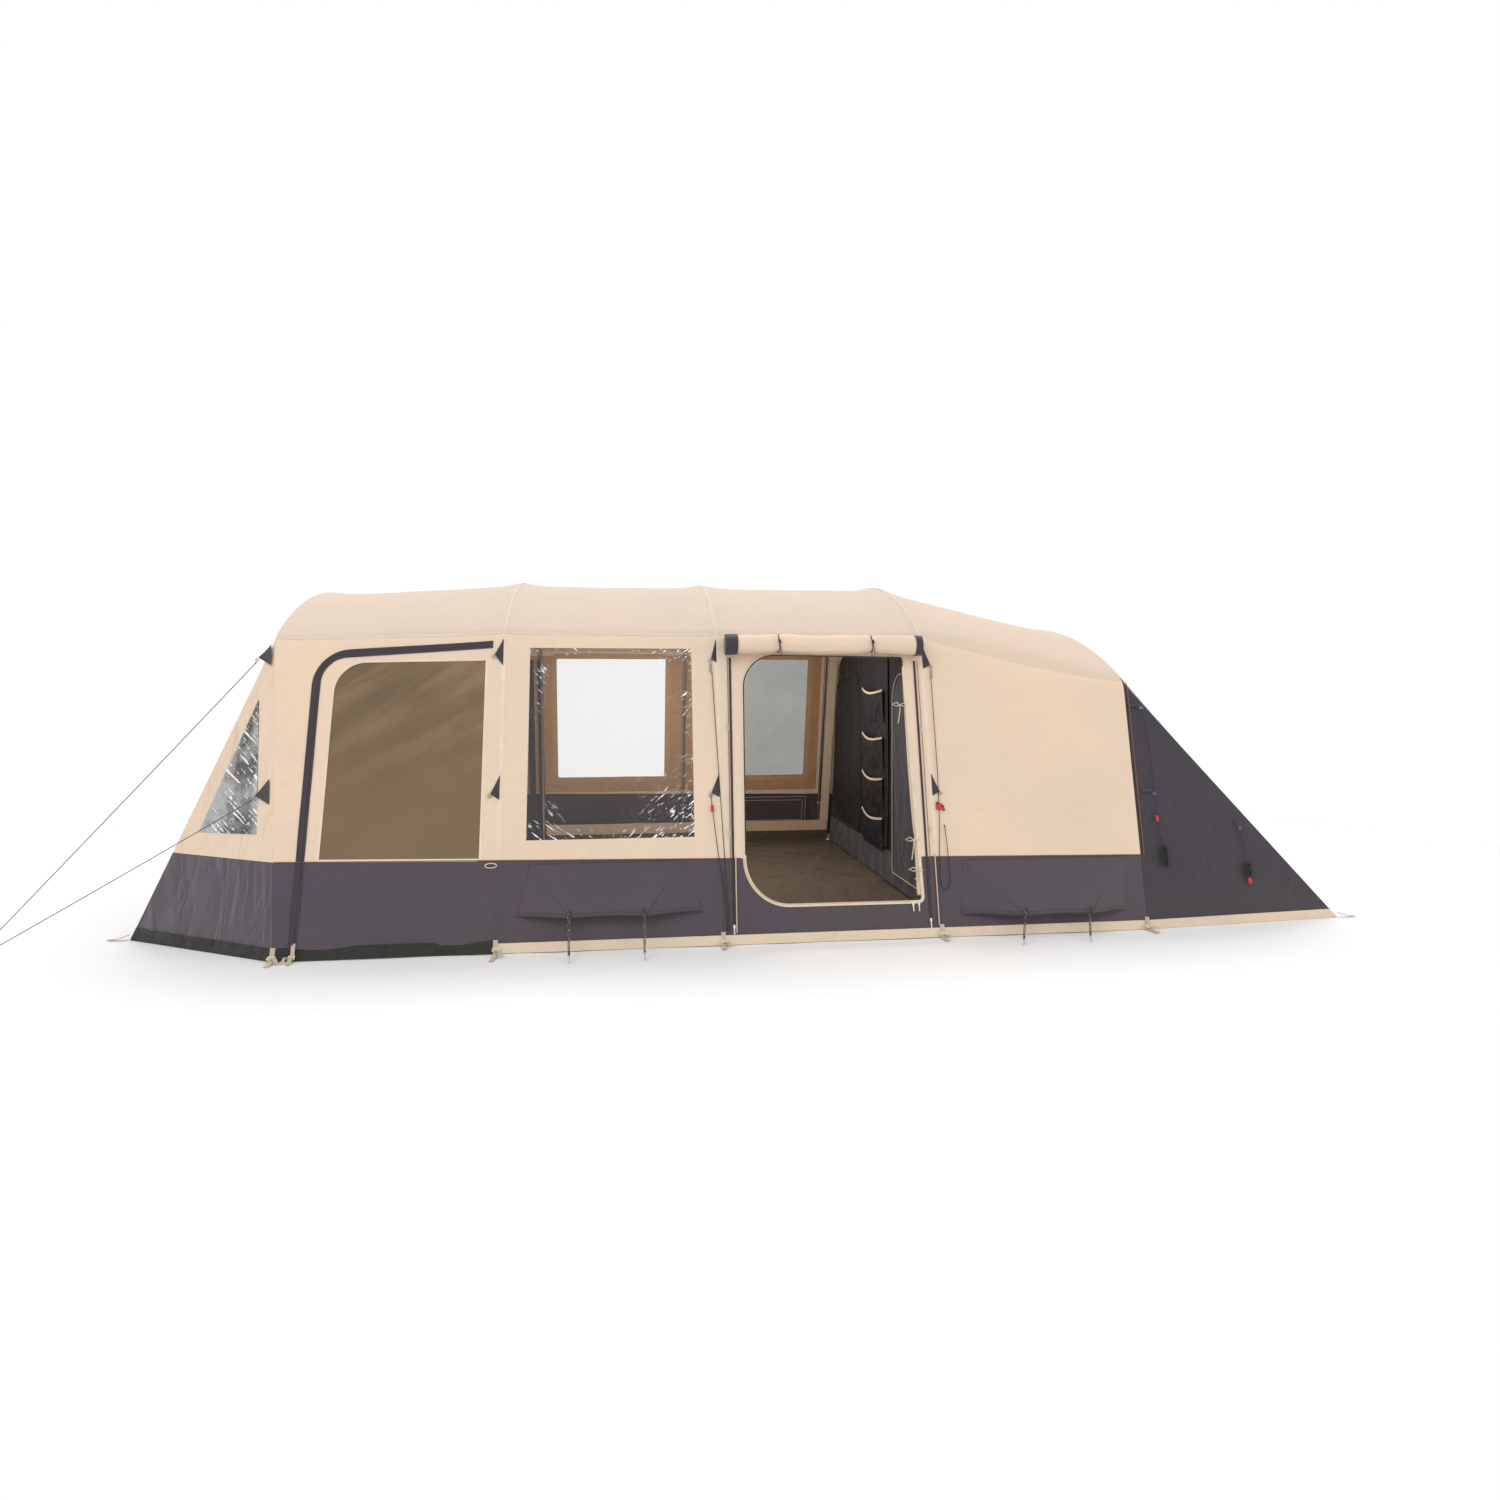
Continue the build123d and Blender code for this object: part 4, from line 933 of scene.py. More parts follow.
mesh_hole = rounded(*MESH)
window_hole = rounded(*WINDOW_NEAR)
far_holes = [rounded(*opening) for opening in WINDOWS_FAR]
door_hole = rounded(*DOORWAY)


def shoulder_creases(x, z):
    """Faint diagonal creases that run down from the front hoop's shoulder."""
    along = (x + 2.64) * 0.75 + (1.62 - z) * 0.66
    across = (x + 2.64) * 0.66 - (1.62 - z) * 0.75
    return 0.0022 * np.sin(across * 60) * np.exp(-(across / 0.16) ** 2) * np.exp(-along / 0.35)


for bay, holes in enumerate([[mesh_hole], [window_hole], [door_hole], []]):
    part, area = wall_part(NEAR, upper_outline(bay), holes, 0.03 if bay < 3 else 0.02,
                           extra=shoulder_creases if bay == 0 else None)
    cloth(f"wall_near_{bay + 1}_cloth", [part], "beige", 0.0015, f"wall_near_{bay + 1}",
          "wall_cloth", area, 1.2, rests_on=[f"hoop_{bay + 1}", f"hoop_{bay + 2}"])

parts, area = [], 0.0
for bay, holes in enumerate([[], [far_holes[0]], [far_holes[1]], []]):
    part, size = wall_part(FAR, upper_outline(bay), holes, 0.04)
    parts.append(part)
    area += size
cloth("walls_far_cloth", parts, "beige", 0.0015, "walls_far", "wall_cloth", area, 1.3)


def hem_waves(x, z):
    """The band's loose lower part moves in and out between the hoops."""
    free = np.clip((0.45 - z) / 0.45, 0, 1)
    wave = 0.004 * free * np.sin(x * 7.3 + 0.6 * np.sin(x * 3.1))
    return wave * np.clip(pull(bay_place(x, z)), 0, 1)


part, area = wall_part(NEAR, band_outline(2), [door_hole], 0.025, extra=hem_waves)
cloth("band_door_cloth", [part], "charcoal", 0.0015,
      "band_door", "band_cloth", area, 0.44, rests_on=["hoop_3", "hoop_4"])
parts, area = [], 0.0
for side, bay in [(NEAR, 0), (NEAR, 1), (NEAR, 3)] + [(FAR, b) for b in range(4)]:
    part, size = wall_part(side, band_outline(bay), [], 0.03, extra=hem_waves)
    parts.append(part)
    area += size
cloth("band_walls_cloth", parts, "charcoal", 0.0015, "band_walls", "band_cloth", area, 0.44)


def screen_folds(x, z):
    """Slack mesh with folds from its upper rear corner down to the front."""
    across = (x + 1.56) * 0.62 + (z - 1.54) * 0.78
    along = -(x + 1.56) * 0.78 + (1.54 - z) * 0.62 * 0.5
    deep = np.exp(-np.clip(along, 0, None) / 0.8) * np.clip((z - 0.5) / 0.3, 0, 1)
    edge = np.minimum.reduce([(x + 2.371) / 0.07, (-1.556 - x) / 0.07, (1.542 - z) / 0.05,
                              (z - 0.48) / 0.05])
    folds = np.sin(across * 34 + 1.3 * np.sin(x * 5)) + 0.6 * np.sin(across * 71 + 0.7)
    return (0.0055 * folds * deep - 0.004) * np.clip(edge, 0, 1)


part, area = wall_part(NEAR, mesh_hole, [], 0.018, FILM_LIFT, screen_folds)
cloth("mesh_screen_cloth", [part], "mesh", 0.0006,
      "mesh_screen", "mesh_cloth", area, 0.8, rests_on=["wall_near_1_cloth"])

for name, hole, look in (("windows_far_film", far_holes[0], "film"),
                         ("window_far_film_2", far_holes[1], "film_shaded")):
    part, area = wall_part(FAR, hole, [], 0.06, FILM_LIFT)
    cloth(name, [part], look, 0.0006, "windows_far", "window_film", area, 0.92,
          rests_on=["walls_far_cloth"])


def add_glint_zone(piece, value):
    """Per-point share of the painted highlights on creases, read by the glinting film's material.
    """
    points = np.array([v.co for v in piece.data.vertices])
    attribute = piece.data.attributes.new("glint_zone", "FLOAT", "POINT")
    attribute.data.foreach_set("value", np.clip(value(points), 0, 1).astype(np.float32))


# ---- flat cloths off the wall planes --------------------------------------------------
def plane_part(corners, outward, holes=(), step=0.035, lift=CLOTH_LIFT, sag=0.006, seed=5):
    """Cloth through corners that lie nearly in one plane, hanging in a little."""
    origin, normal = plane_of(corners[0], corners[1], corners[2], outward)
    ex = (Vector(corners[1]) - origin).normalized()
    ey = normal.cross(ex)
    to_flat = lambda p: ((Vector(p) - origin).dot(ex), (Vector(p) - origin).dot(ey))
    outline = [to_flat(p) for p in corners]
    twice = sum(a[0] * b[1] - b[0] * a[1] for a, b in zip(outline, outline[1:] + outline[:1]))
    outline = outline if twice > 0 else outline[::-1]
    flat, faces, area = filled(outline, [[to_flat(p) for p in hole] for hole in holes], step)
    edge = np.full(len(flat), 1e9)
    for (x0, y0), (x1, y1) in zip(outline, outline[1:] + outline[:1]):
        length = math.hypot(x1 - x0, y1 - y0)
        gap = np.abs((x1 - x0) * (flat[:, 1] - y0) - (y1 - y0) * (flat[:, 0] - x0)) / length
        edge = np.minimum(edge, gap)
    loose = 1 - np.exp(-(edge / 0.13) ** 2)
    out = lift - sag * loose + 0.0018 * loose * waves(flat[:, 0], flat[:, 1], seed, 0.45)
    points = (np.array(origin)[None] + flat[:, :1] * np.array(ex)[None]
              + flat[:, 1:] * np.array(ey)[None] + out[:, None] * np.array(normal)[None])
    return (points, faces), area


def mirrored(points):
    return [(x, -y, z) for x, y, z in points]


def mirrored_part(part):
    points, faces = part
    return np.asarray(points) * np.array([1, -1, 1]), turned(faces)


def both_sides(part):
    return [part, mirrored_part(part)]


class End:
    """A sloping end of the tent, between its last hoop and its bottom edge."""

    def __init__(self, hoop, corner, outward):
        self.hoop, self.corner, self.outward = hoop, corner, outward
        self.top = tuple(shoulder_point(hoop, NEAR, 0.0))

    def foot(self, z):
        return (hoop_x(self.hoop, z), -(FOOT_HALF - LEAN * z), z)

    def edge(self, z):
        share = (self.top[2] - z) / (self.top[2] - self.corner[2])
        return tuple(t + (b - t) * share for t, b in zip(self.top, self.corner))

    def hoop_line(self, low):
        """Points up the hoop's wall edge, over the round shoulder."""
        heights = [low, 0.8, 1.2, HOOPS[self.hoop, 2] - 0.07, HOOPS[self.hoop, 2] - 0.03]
        return [tuple(wall_point(NEAR, [hoop_x(self.hoop, z)], [z], 0.0)[0]) for z in heights]

    def gusset(self, low, holes=(), **options):
        corners = [self.edge(low), self.foot(low), self.top]
        outline = [self.edge(low)] + self.hoop_line(low) + [self.top]
        origin, normal = plane_of(*corners, self.outward)
        flat = [tuple(Vector(p) - normal * (Vector(p) - origin).dot(normal)) for p in outline]
        return plane_part(flat, self.outward, holes, **options)

    def face(self, low, sag=0.02):
        """The ruled end from the hoop's crown down to the straight edge."""
        x, y, z = self.edge(low)
        side = 1 if self.hoop else -1

        def place(u, v):
            top = roof_point(np.full_like(u, float(self.hoop)), u, CLOTH_LIFT)
            bottom = np.stack([np.full_like(u, x), y - 2 * y * u, np.full_like(u, z)], axis=1)
            points = top + (bottom - top) * v[:, None]
            slack = np.sin(math.pi * np.clip(u, 0, 1)) ** 0.7 * np.sin(math.pi * v) ** 0.7
            push = sag * slack - 0.003 * slack * waves(u * 2.6, v * 1.6, 21, 0.5)
            points[:, 0] -= side * push * 0.75
            points[:, 2] -= push * 0.6
            return points

        points, faces = grid_part(48, 80, place)
        return points, faces if side < 0 else turned(faces)

    def strip(self, low, high):
        """Outlines of the near strip and the wide one that wrap the end between two heights."""
        gusset = [self.foot(low), self.foot(high), self.edge(high), self.edge(low)]
        front = [self.edge(low), self.edge(high)]
        return gusset, front + mirrored(front)[::-1]


front = End(0, (FRONT_X, -FRONT_HALF, 0), (-1, -1, 0))
rear = End(4, (REAR_X, -REAR_HALF, 0), (1, -1, 0))

gusset, gusset_area = front.gusset(BAND_FRONT, [GUSSET_WINDOW])
face = front.face(BAND_FRONT)
cloth("front_end_cloth", both_sides(gusset) + [face], "beige_front", 0.0015,
      "front_end", "wall_cloth", 2 * gusset_area + area_of(face), 2.0, rests_on=["hoop_1"])

SKIRT_TOP = 0.066
quad, wide = front.strip(SKIRT_TOP, BAND_FRONT)
near_quad, size = plane_part(quad, (-1, -1, 0), sag=0.004)
wide_quad, wide_size = plane_part(wide, (-1, 0, 0), sag=0.008, step=0.06)
cloth("front_band_cloth", both_sides(near_quad) + [wide_quad], "charcoal_front", 0.0015,
      "front_band", "band_cloth", 2 * size + wide_size, 0.45, rests_on=["hoop_1"])

quad, wide = front.strip(0.0, SKIRT_TOP)
near_quad, size = plane_part(quad, (-1, -1, 0), sag=0.0, step=0.03, lift=0.0035)
wide_quad, wide_size = plane_part(wide, (-1, 0, 0), sag=0.0, step=0.05, lift=0.0035)
parts, area = both_sides(near_quad) + [wide_quad], 2 * size + wide_size


def curled(x, z):
    """Skirt that leans out and ripples at its lower edge."""
    free = np.clip((0.07 - z) / 0.07, 0, 1)
    return free * (0.010 + 0.006 * np.sin(x * 11 + 1.4 * np.sin(x * 4.3)))


for side in (NEAR, FAR):
    outline = bay_outline(0, lambda x: 0.0, lambda hoop: SKIRT_TOP)
    part, size = wall_part(side, outline, [], 0.02, extra=curled)
    parts.append(part)
    area += size
cloth("front_skirt_vinyl", parts, "skirt_dark", 0.0015, "front_skirt", "skirt_dark", area, 0.07,
      rests_on=["hoop_1"])

gusset, gusset_area = rear.gusset(HEM)
face = rear.face(HEM)
cloth("rear_end_cloth", both_sides(gusset) + [face], "rear", 0.0015,
      "rear_end", "band_cloth", 2 * gusset_area + area_of(face), 3.0, rests_on=["hoop_5"])

quad, wide = rear.strip(0.0, HEM)
near_quad, size = plane_part(quad, (1, -1, 0), sag=-0.006, step=0.03)
wide_quad, wide_size = plane_part(wide, (1, 0, 0), sag=-0.006, step=0.04)
parts, area = both_sides(near_quad) + [wide_quad], 2 * size + wide_size
for side in (NEAR, FAR):
    for bay in (1, 2, 3):
        outline = bay_outline(bay, lambda x: 0.0, lambda hoop: HEM)
        part, size = wall_part(side, outline, [], 0.016, extra=curled)
        parts.append(part)
        area += size
cloth("mud_skirt_vinyl", parts, "skirt_cream", 0.0015,
      "mud_skirt", "skirt_cream", area, 0.05, rests_on=["hoop_3"])

# ---- far wall's inner face, painted brown for its shade, seen through the openings -----
part, area = wall_part(FAR, INNER_SHADE_OUTLINE, far_holes, 0.05, lift=-0.004)
piece = join("far_wall_painted_shade", [part], "inner_shade", thick=0.0008)

# ---- near windows, with creases that carry painted highlights -------------------------
part, area = wall_part(NEAR, window_hole, [], 0.02, FILM_LIFT)
panes, pane_area = plane_part(GUSSET_WINDOW, (-1, -1, 0), step=0.03, lift=FILM_LIFT, sag=0.004)
windows = join("windows_near_film", [part], "film_glinting", thick=0.0006)


def window_glint_zone(p):
    """The painted highlights on creases gather in the window's corners and along its edges."""
    spots = [(-.42, 1.52, .12, .17, 1.0), (-.42, .66, .13, .13, 1.0), (-1.28, .64, .08, .11, .9),
             (-1.29, 1.50, .05, .15, .5), (-.41, 1.05, .05, .40, .25), (-.80, .575, .50, .025, .5),
             (-.80, 1.61, .50, .022, .35), (-.60, .80, .12, .12, .12)]
    return sum(share * np.exp(-((p[:, 0] - x) / wide) ** 2 - ((p[:, 2] - z) / tall) ** 2)
               for x, z, wide, tall, share in spots)


add_glint_zone(windows, window_glint_zone)
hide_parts("windows_near")
small = join("windows_gusset_film", both_sides(panes), "film_gusset", thick=0.0006)
add_glint_zone(small, lambda p: np.ones(len(p)))
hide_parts("windows_near")


# ---- seam tapes, piping and edges -----------------------------------------------------
def wall_run(side, points, lift):
    """Points of a run on a side wall."""
    x, z = np.array(points, float).T
    return wall_point(side, x, z, lift)


def hoop_tape(hoop, side, low, high, look, name):
    """Tape up one hoop's seam on a wall."""
    heights = np.linspace(low, high, max(3, int((high - low) / 0.03)))
    points = wall_point(side, hoop_x(hoop, heights), heights, TAPE_LIFT)
    return ribbon(name, points, [(1, 0, 0)] * len(points), 0.034, look, thick=0.0006)


for hoop in (1, 2, 3):
    for side, word in ((NEAR, "near"), (FAR, "far")):
        top = HOOPS[hoop, 2] - 0.001
        split = band_z(HOOPS[hoop, 0])
        hoop_tape(hoop, side, split, top, "tape", f"seam_wall_{word}_{hoop + 1}")
        hoop_tape(hoop, side, 0.052, split, "charcoal_tape", f"seam_band_{word}_{hoop + 1}")
    f = np.linspace(0, 1, 90)
    points = roof_point(np.full_like(f, float(hoop)), f, TAPE_LIFT)
    ribbon(f"seam_roof_{hoop + 1}", points, [(1, 0, 0)] * len(points), 0.026, "roof_tape",
           thick=0.0006)
for bay in range(3):
    for side, word in ((NEAR, "near"), (FAR, "far")):
        t = np.linspace(bay + 0.02, bay + 0.98, 40)
        points = roof_point(t, np.full_like(t, 0.003 if side == NEAR else 0.997), 0.0026)
        across = [(0, 0.75 * -side, 0.66)] * len(points)
        ribbon(f"shoulder_seam_{word}_{bay + 1}", points, across, 0.014, "roof_tape")

x = np.linspace(HOOPS[0, 0] - 0.032, HOOPS[4, 0] + 0.009, 180)
for side, word in ((NEAR, "near"), (FAR, "far")):
    run = wall_point(side, x, band_z(x), 0.0035)
    if side == NEAR:
        tube("band_piping_near_front", run[x < -0.140], 0.0022, "rust")
        tube("band_piping_near_rear", run[x > 0.868], 0.0022, "rust")
    else:
        tube("band_piping_far", run, 0.0022, "rust")
heights = np.linspace(0.41, 1.42, 60)
for side, word in ((NEAR, "near"), (FAR, "far")):
    line = wall_point(side, HOOPS[4, 0] + 0.022 + HOOPS[4, 1] * heights, heights, 0.0035)
    tube(f"rear_piping_{word}", line, 0.0028, "rust")


def edge_tape(name, outline, side, width, look, lift=0.0042, closed=True, inward=0.0):
    """Tape that runs round an opening, on the outer face of the wall."""
    dense = divided(outline, 0.02, closed)
    flat = np.array(dense)
    ahead = np.roll(flat, -1, axis=0) - np.roll(flat, 1, axis=0)
    if not closed:
        ahead[0], ahead[-1] = flat[1] - flat[0], flat[-1] - flat[-2]
    ahead /= np.linalg.norm(ahead, axis=1)[:, None]
    out = np.stack([ahead[:, 1], -ahead[:, 0]], axis=1)
    columns = [-width / 2, 0.0, width / 2]
    rows = [wall_run(side, flat + out * (o + inward), lift) for o in columns]
    count, grid, uv = len(flat), [], []
    run = np.concatenate([[0], np.cumsum(np.linalg.norm(np.diff(flat, axis=0), axis=1))])
    for i in range(count):
        for j, o in enumerate(columns):
            grid.append(rows[j][i])
            uv.append((run[i], o))
    last = count if closed else count - 1
    faces = [(i * 3 + c, i * 3 + c + 1, (i + 1) % count * 3 + c + 1, (i + 1) % count * 3 + c)
             for i in range(last) for c in range(2)]
    return make(name, grid, faces if side == NEAR else turned(faces), look, thick=0.0012, uv=uv)


edge_tape("mesh_edge", mesh_hole, NEAR, 0.014, "tape", lift=0.0026, inward=0.006)
for number, hole in enumerate(far_holes, 1):
    edge_tape(f"window_edge_far_{number}", hole, FAR, 0.034, "tape", inward=0.012)
    # the inner tapes are painted brown like the far wall's inner face: painted shade
    edge_tape(f"window_inner_far_{number}", hole, FAR, 0.05, "inner_shade_tape", lift=-0.0065,
              inward=0.02)

dense = divided(door_hole, 0.02)
edge_tape("door_edge", door_hole, NEAR, 0.018, "cream_tape", inward=0.006)
start = next(i for i, p in enumerate(dense) if p[0] > 0.83 and p[1] > 1.5)
upper = [p for p in dense[start:] + dense[:start] if p[1] > 1.5 or p[0] < 0 and p[1] > band_z(0)]
tube("door_piping", wall_run(NEAR, upper, 0.006), 0.0032, "black")
lower = [p for p in dense if p[1] < band_z(0) and p[0] < 0.80]
lower.sort(key=lambda p: (p[0] > -0.12, p[0] if p[0] > -0.12 else -p[1]))
lower = [(0.3 + (x - 0.3) * 1.02, z) for x, z in lower]
tube("door_piping_low", wall_run(NEAR, lower, 0.006), 0.0031, "cream_piping")

# charcoal cover over the arched zip, with a placket along its middle
ARCH = [(-2.491, .055), (-2.467, 1.587), (-1.520, 1.653), (-1.520, 1.611), (-2.424, 1.545),
        (-2.448, .055)]
arch_outline = rounded(ARCH, [0, .200, 0, 0, .140, 0])


def proud(x, z):
    return 0.0025 + 0.0020 * np.sin(z * 17 + x * 9) * np.clip(1.4 - z, 0.2, 1)


part, area = wall_part(NEAR, arch_outline, [], 0.02, lift=0.0025, extra=proud)
cloth("arch_zip_cover_cloth", [part], "patch", 0.002, "arch_zip_cover", "patch_cloth", area, 0.065,
      rests_on=["wall_near_1_cloth"])
line = rounded([(-2.469, .06), (-2.446, 1.567), (-1.522, 1.632)], [0, .170, 0])
line = divided(line, 0.03, False)
points = wall_run(NEAR, line, 0.0085)
ribbon("arch_zip_placket", points, [
    (1, 0, 0.0) if abs(p[0] + 2.46) < 0.03 else (0, 0, 1) for p in line], 0.012, "dark_tape")

# rust piping and cream facing beside the cover zips
for name, line in {"zip_facing_left": [(-.216, .06), (-.200, 1.56)],
                   "zip_facing_right": [(.922, .06), (.933, 1.545)]}.items():
    line = divided(line, 0.03, False)
    lower = [p for p in line if p[1] < 0.45]
    tube(name, wall_run(NEAR, line, 0.007), 0.0018, "rust")
    tube(f"{name}_low", wall_run(NEAR, [(x + 0.028, z) for x, z in lower], 0.008), 0.0036,
         "cream_piping")


# ---- rolls ----------------------------------------------------------------------------
def rolled(place, section, stations, spokes=40):
    """Closed bar of rolled cloth: place(s) gives centre and two axes, section its radius."""
    points, faces = [], []
    for s in stations:
        centre, first, second = place(s)
        for k in range(spokes):
            a = 2 * math.pi * k / spokes
            r = section(s, a)
            points.append(Vector(centre) + Vector(first) * (r * math.cos(a))
                          + Vector(second) * (r * math.sin(a)))
    for i in range(len(stations) - 1):
        for k in range(spokes):
            n = (k + 1) % spokes
            faces.append((i * spokes + k, i * spokes + n, (i + 1) * spokes + n,
                          (i + 1) * spokes + k))
    for i, end in ((0, stations[0]), (len(stations) - 1, stations[-1])):
        centre, first, second = place(end)
        outer = [i * spokes + k for k in range(spokes)]
        for share in (0.7, 0.4, 0.15):
            base = len(points)
            for k in range(spokes):
                a = 2 * math.pi * k / spokes
                r = section(end, a) * share
                points.append(Vector(centre) + Vector(first) * (r * math.cos(a))
                              + Vector(second) * (r * math.sin(a)))
            ring = list(range(base, base + spokes))
            faces += [(outer[k], outer[(k + 1) % spokes], ring[(k + 1) % spokes], ring[k])
                      if i else (outer[k], ring[k], ring[(k + 1) % spokes], outer[(k + 1) % spokes])
                      for k in range(spokes)]
            outer = ring
        faces.append(tuple(outer) if i else tuple(outer[::-1]))
    return points, faces


roll_line = on_slope(NEAR_PLANE, 0, 1.628, 0.062)
TIES = (0.091, 0.640)


def roll_place(s):
    slack = min(1 - math.exp(-((s - tie) / 0.09) ** 2) for tie in TIES)
    droop = 0.009 * slack + 0.002 * math.sin(s * 21 + 1) - 0.004
    return (s, roll_line.y, roll_line.z - droop), (0, 1, 0), (0, 0, 1)


def roll_section(s, a):
    cinch = sum(0.16 * math.exp(-((s - tie) / 0.022) ** 2) for tie in TIES)
    folds = 0.035 * math.sin(3 * a + 2.2 * s) + 0.02 * math.sin(7 * a - 9 * s)
    lip = 0.05 * math.exp(-(((a - 4.0 + 0.25 * math.sin(5 * s)) % (2 * math.pi)) / 0.25) ** 2)
    puff = 0.02 * math.sin(s * 17)
    return 0.056 * (0.97 - cinch + folds * 0.6 + lip + puff)


stations = list(np.linspace(-0.150, 0.905, 110))
piece = join("door_cover_roll_cloth", [rolled(roll_place, roll_section, stations)], "beige")
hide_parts("door_cover_roll")
ends = [rolled(roll_place, lambda s, a: roll_section(s, a) * 1.10, list(np.linspace(a, b, 9)))
        for a, b in ((-0.218, -0.149), (0.904, 0.943))]
piece = join("door_cover_roll_bound_ends", ends, "patch")
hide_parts("door_cover_roll_ends")
for number, tie in enumerate(TIES, 1):
    loop = []
    for k in range(28):
        a = 2 * math.pi * k / 28
        centre, first, second = roll_place(tie)
        r = roll_section(tie, a) + 0.003
        loop.append(Vector(centre) + Vector((0.004 * math.sin(2 * a), r * math.cos(a),
                                             r * math.sin(a))))
    tube(f"roll_tie_{number}", loop, 0.0028, "black", closed=True)
    front_y = roll_line.y - 0.060

    def at(x, y, z):
        return tie + x, front_y + y, roll_line.z + z

    tube(f"roll_toggle_{number}", [at(-.004, 0, .022), at(.003, -.006, .003)], 0.0065, "zip")
    tube(f"roll_tail_{number}", [at(0, .004, .004), at(.008, -.002, -.03), at(.012, .012, -.064),
                                 at(-.004, .02, -.07), at(-.006, .006, -.045)], 0.0016, "black")

leaf_foot = on_slope(NEAR_PLANE, 0.868, 0.225, -0.026)
leaf_up = Vector((0, LEAN, 1)).normalized()
leaf_side = Vector((1, 0, 0))
leaf_out = leaf_up.cross(leaf_side)
LEAF_LENGTH = 1.310 * SLOPE
LEAF_TIES = (1.09, 0.33)


def leaf_place(s):
    sway = 0.004 * math.sin(s * 6)
    return leaf_foot + leaf_up * s + leaf_side * (sway - 0.004), leaf_side, leaf_out


def leaf_section(s, a):
    cinch = sum(0.2 * math.exp(-((s - tie) / 0.02) ** 2) for tie in LEAF_TIES)
    return 0.020 * (1.0 - cinch + 0.06 * math.sin(2 * a + 7 * s) + 0.05 * math.sin(5 * a - 11 * s))


piece = join("door_leaf_roll_cloth",
             [rolled(leaf_place, leaf_section, list(np.linspace(0, LEAF_LENGTH, 90)), 28)], "beige")
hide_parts("door_leaf_roll")
for number, (x, z, reach) in enumerate([(.812, 1.286, 1), (.838, .523, 1), (.846, .360, 0)], 1):
    knot_at = on_slope(NEAR_PLANE, x, z, 0.002)
    up = leaf_up
    left = Vector((-1, 0, 0))
    loops = [knot_at, knot_at + left * .022 + up * .016, knot_at + left * .05 + up * .004,
             knot_at + left * .022 - up * .006, knot_at, knot_at - left * .020 + up * .012,
             knot_at - left * .034, knot_at - left * .018 - up * .008, knot_at,
             knot_at + left * .006 - up * .045,
             knot_at + left * .02 - up * .1 * (0.5 + reach * 0.6)]
    tube(f"leaf_tie_{number}", loops, 0.0032, "cream_piping")

# ---- vent flaps -----------------------------------------------------------------------
FLAPS = {
    2: (.440, .262, (-1.290, -.480), (-1.350, -.372), (-1.078, -.682)),
    4: (.404, .290, (1.120, 2.090), (1.085, 2.060), (1.440, 1.822)),
}
FLARE = math.radians(12)
for bay, (hinge_z, drop, top, bottom, points_x) in FLAPS.items():
    hinge = on_slope(NEAR_PLANE, 0, hinge_z, 0.007)
    lean = math.atan(LEAN) + FLARE
    down = Vector((0, -math.sin(lean), -math.cos(lean)))
    out = Vector((0, -math.cos(lean), math.sin(lean)))

    def place(u, v):
        x = top[0] + (top[1] - top[0]) * u
        x = x + (bottom[0] + (bottom[1] - bottom[0]) * u - x) * v
        left, right = points_x
        edges = [a + (b - a) * v for a, b in zip(top, bottom)]
        folds = [a + (b - a) * v for a, b in zip(top, (left, right))]
        wedge = np.minimum((x - edges[0]) / np.maximum(folds[0] - edges[0], 1e-3),
                           (edges[1] - x) / np.maximum(edges[1] - folds[1], 1e-3))
        pulled = np.clip(wedge, 0, 1)
        middle = np.exp(-((x - (left + right) / 2) / 0.11) ** 2)
        back = -math.tan(FLARE * 0.86) * v * drop * (1 - pulled) - 0.012 * middle * v ** 2
        back = back - 0.6 * math.tan(FLARE) * drop * v * (1 - v)
        near_tab = np.exp(-((x - left) / 0.16) ** 2) + np.exp(-((x - right) / 0.16) ** 2)
        length = v * drop * (1.05 - 0.05 * (1 - pulled) + 0.06 * np.clip(near_tab, 0, 1))
        tuck = np.where((x > left - 0.4) & (x < right + 0.4), 1.0, 0.0)
        tuck = tuck * np.exp(-((wedge - 1) / 0.05) ** 2)
        back = back - 0.006 * tuck * np.minimum(1, v * 4) * (1 - 0.7 * v)
        points = (np.array(hinge)[None] + np.stack([x, 0 * x, 0 * x], axis=1)
                  + length[:, None] * np.array(down)[None]
                  + (0.0015 + back - 0.0045 * (1 - pulled * v))[:, None] * np.array(out)[None])
        return points

    part = grid_part(22, 90, place)
    piece = join(f"vent_flap_{bay}_cloth", [(part[0], turned(part[1]))], "charcoal",
                 body=f"vent_flap_{bay}", thick=0.0015)
    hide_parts(f"vent_flap_{bay}")
    area_of(part)
    u = np.linspace(0, 1, 60)
    for word, v, off in (("hem", 0.985, 0.002), ("stitch", 0.93, 0.0015)):
        line = place(u, np.full_like(u, v)) + off * np.array(out)
        tube(f"vent_flap_{bay}_{word}", line, 0.0026 if word == "hem" else 0.0011,
             "charcoal_webbing", body=f"vent_flap_{bay}")
    # black lines down the flap's two fold creases: painted shade in the folds
    v = np.linspace(0.04, 0.96, 24)
    for number, (start, stop) in enumerate(zip(top, points_x), 1):
        edges = [a + (b - a) * v for a, b in zip(top, bottom)]
        u = (start + (stop - start) * v - edges[0]) / (edges[1] - edges[0])
        tube(f"vent_flap_{bay}_crease_{number}", place(u, v) + 0.0006 * np.array(out), 0.0012,
             "black", body=f"vent_flap_{bay}")
    for number, x in enumerate(points_x, 1):
        share = np.array([(x - bottom[0]) / (bottom[1] - bottom[0])])
        low = place(share, np.array([1.0]))[0]
        high = place(share, np.array([0.86]))[0]
        lift = 0.003 * np.array(out)
        ribbon(f"vent_tab_{bay}_{number}", [high + lift, (high + low) / 2 + lift, low + lift],
               [(1, 0, 0)] * 3, 0.018, "charcoal_webbing", body=f"vent_flap_{bay}")

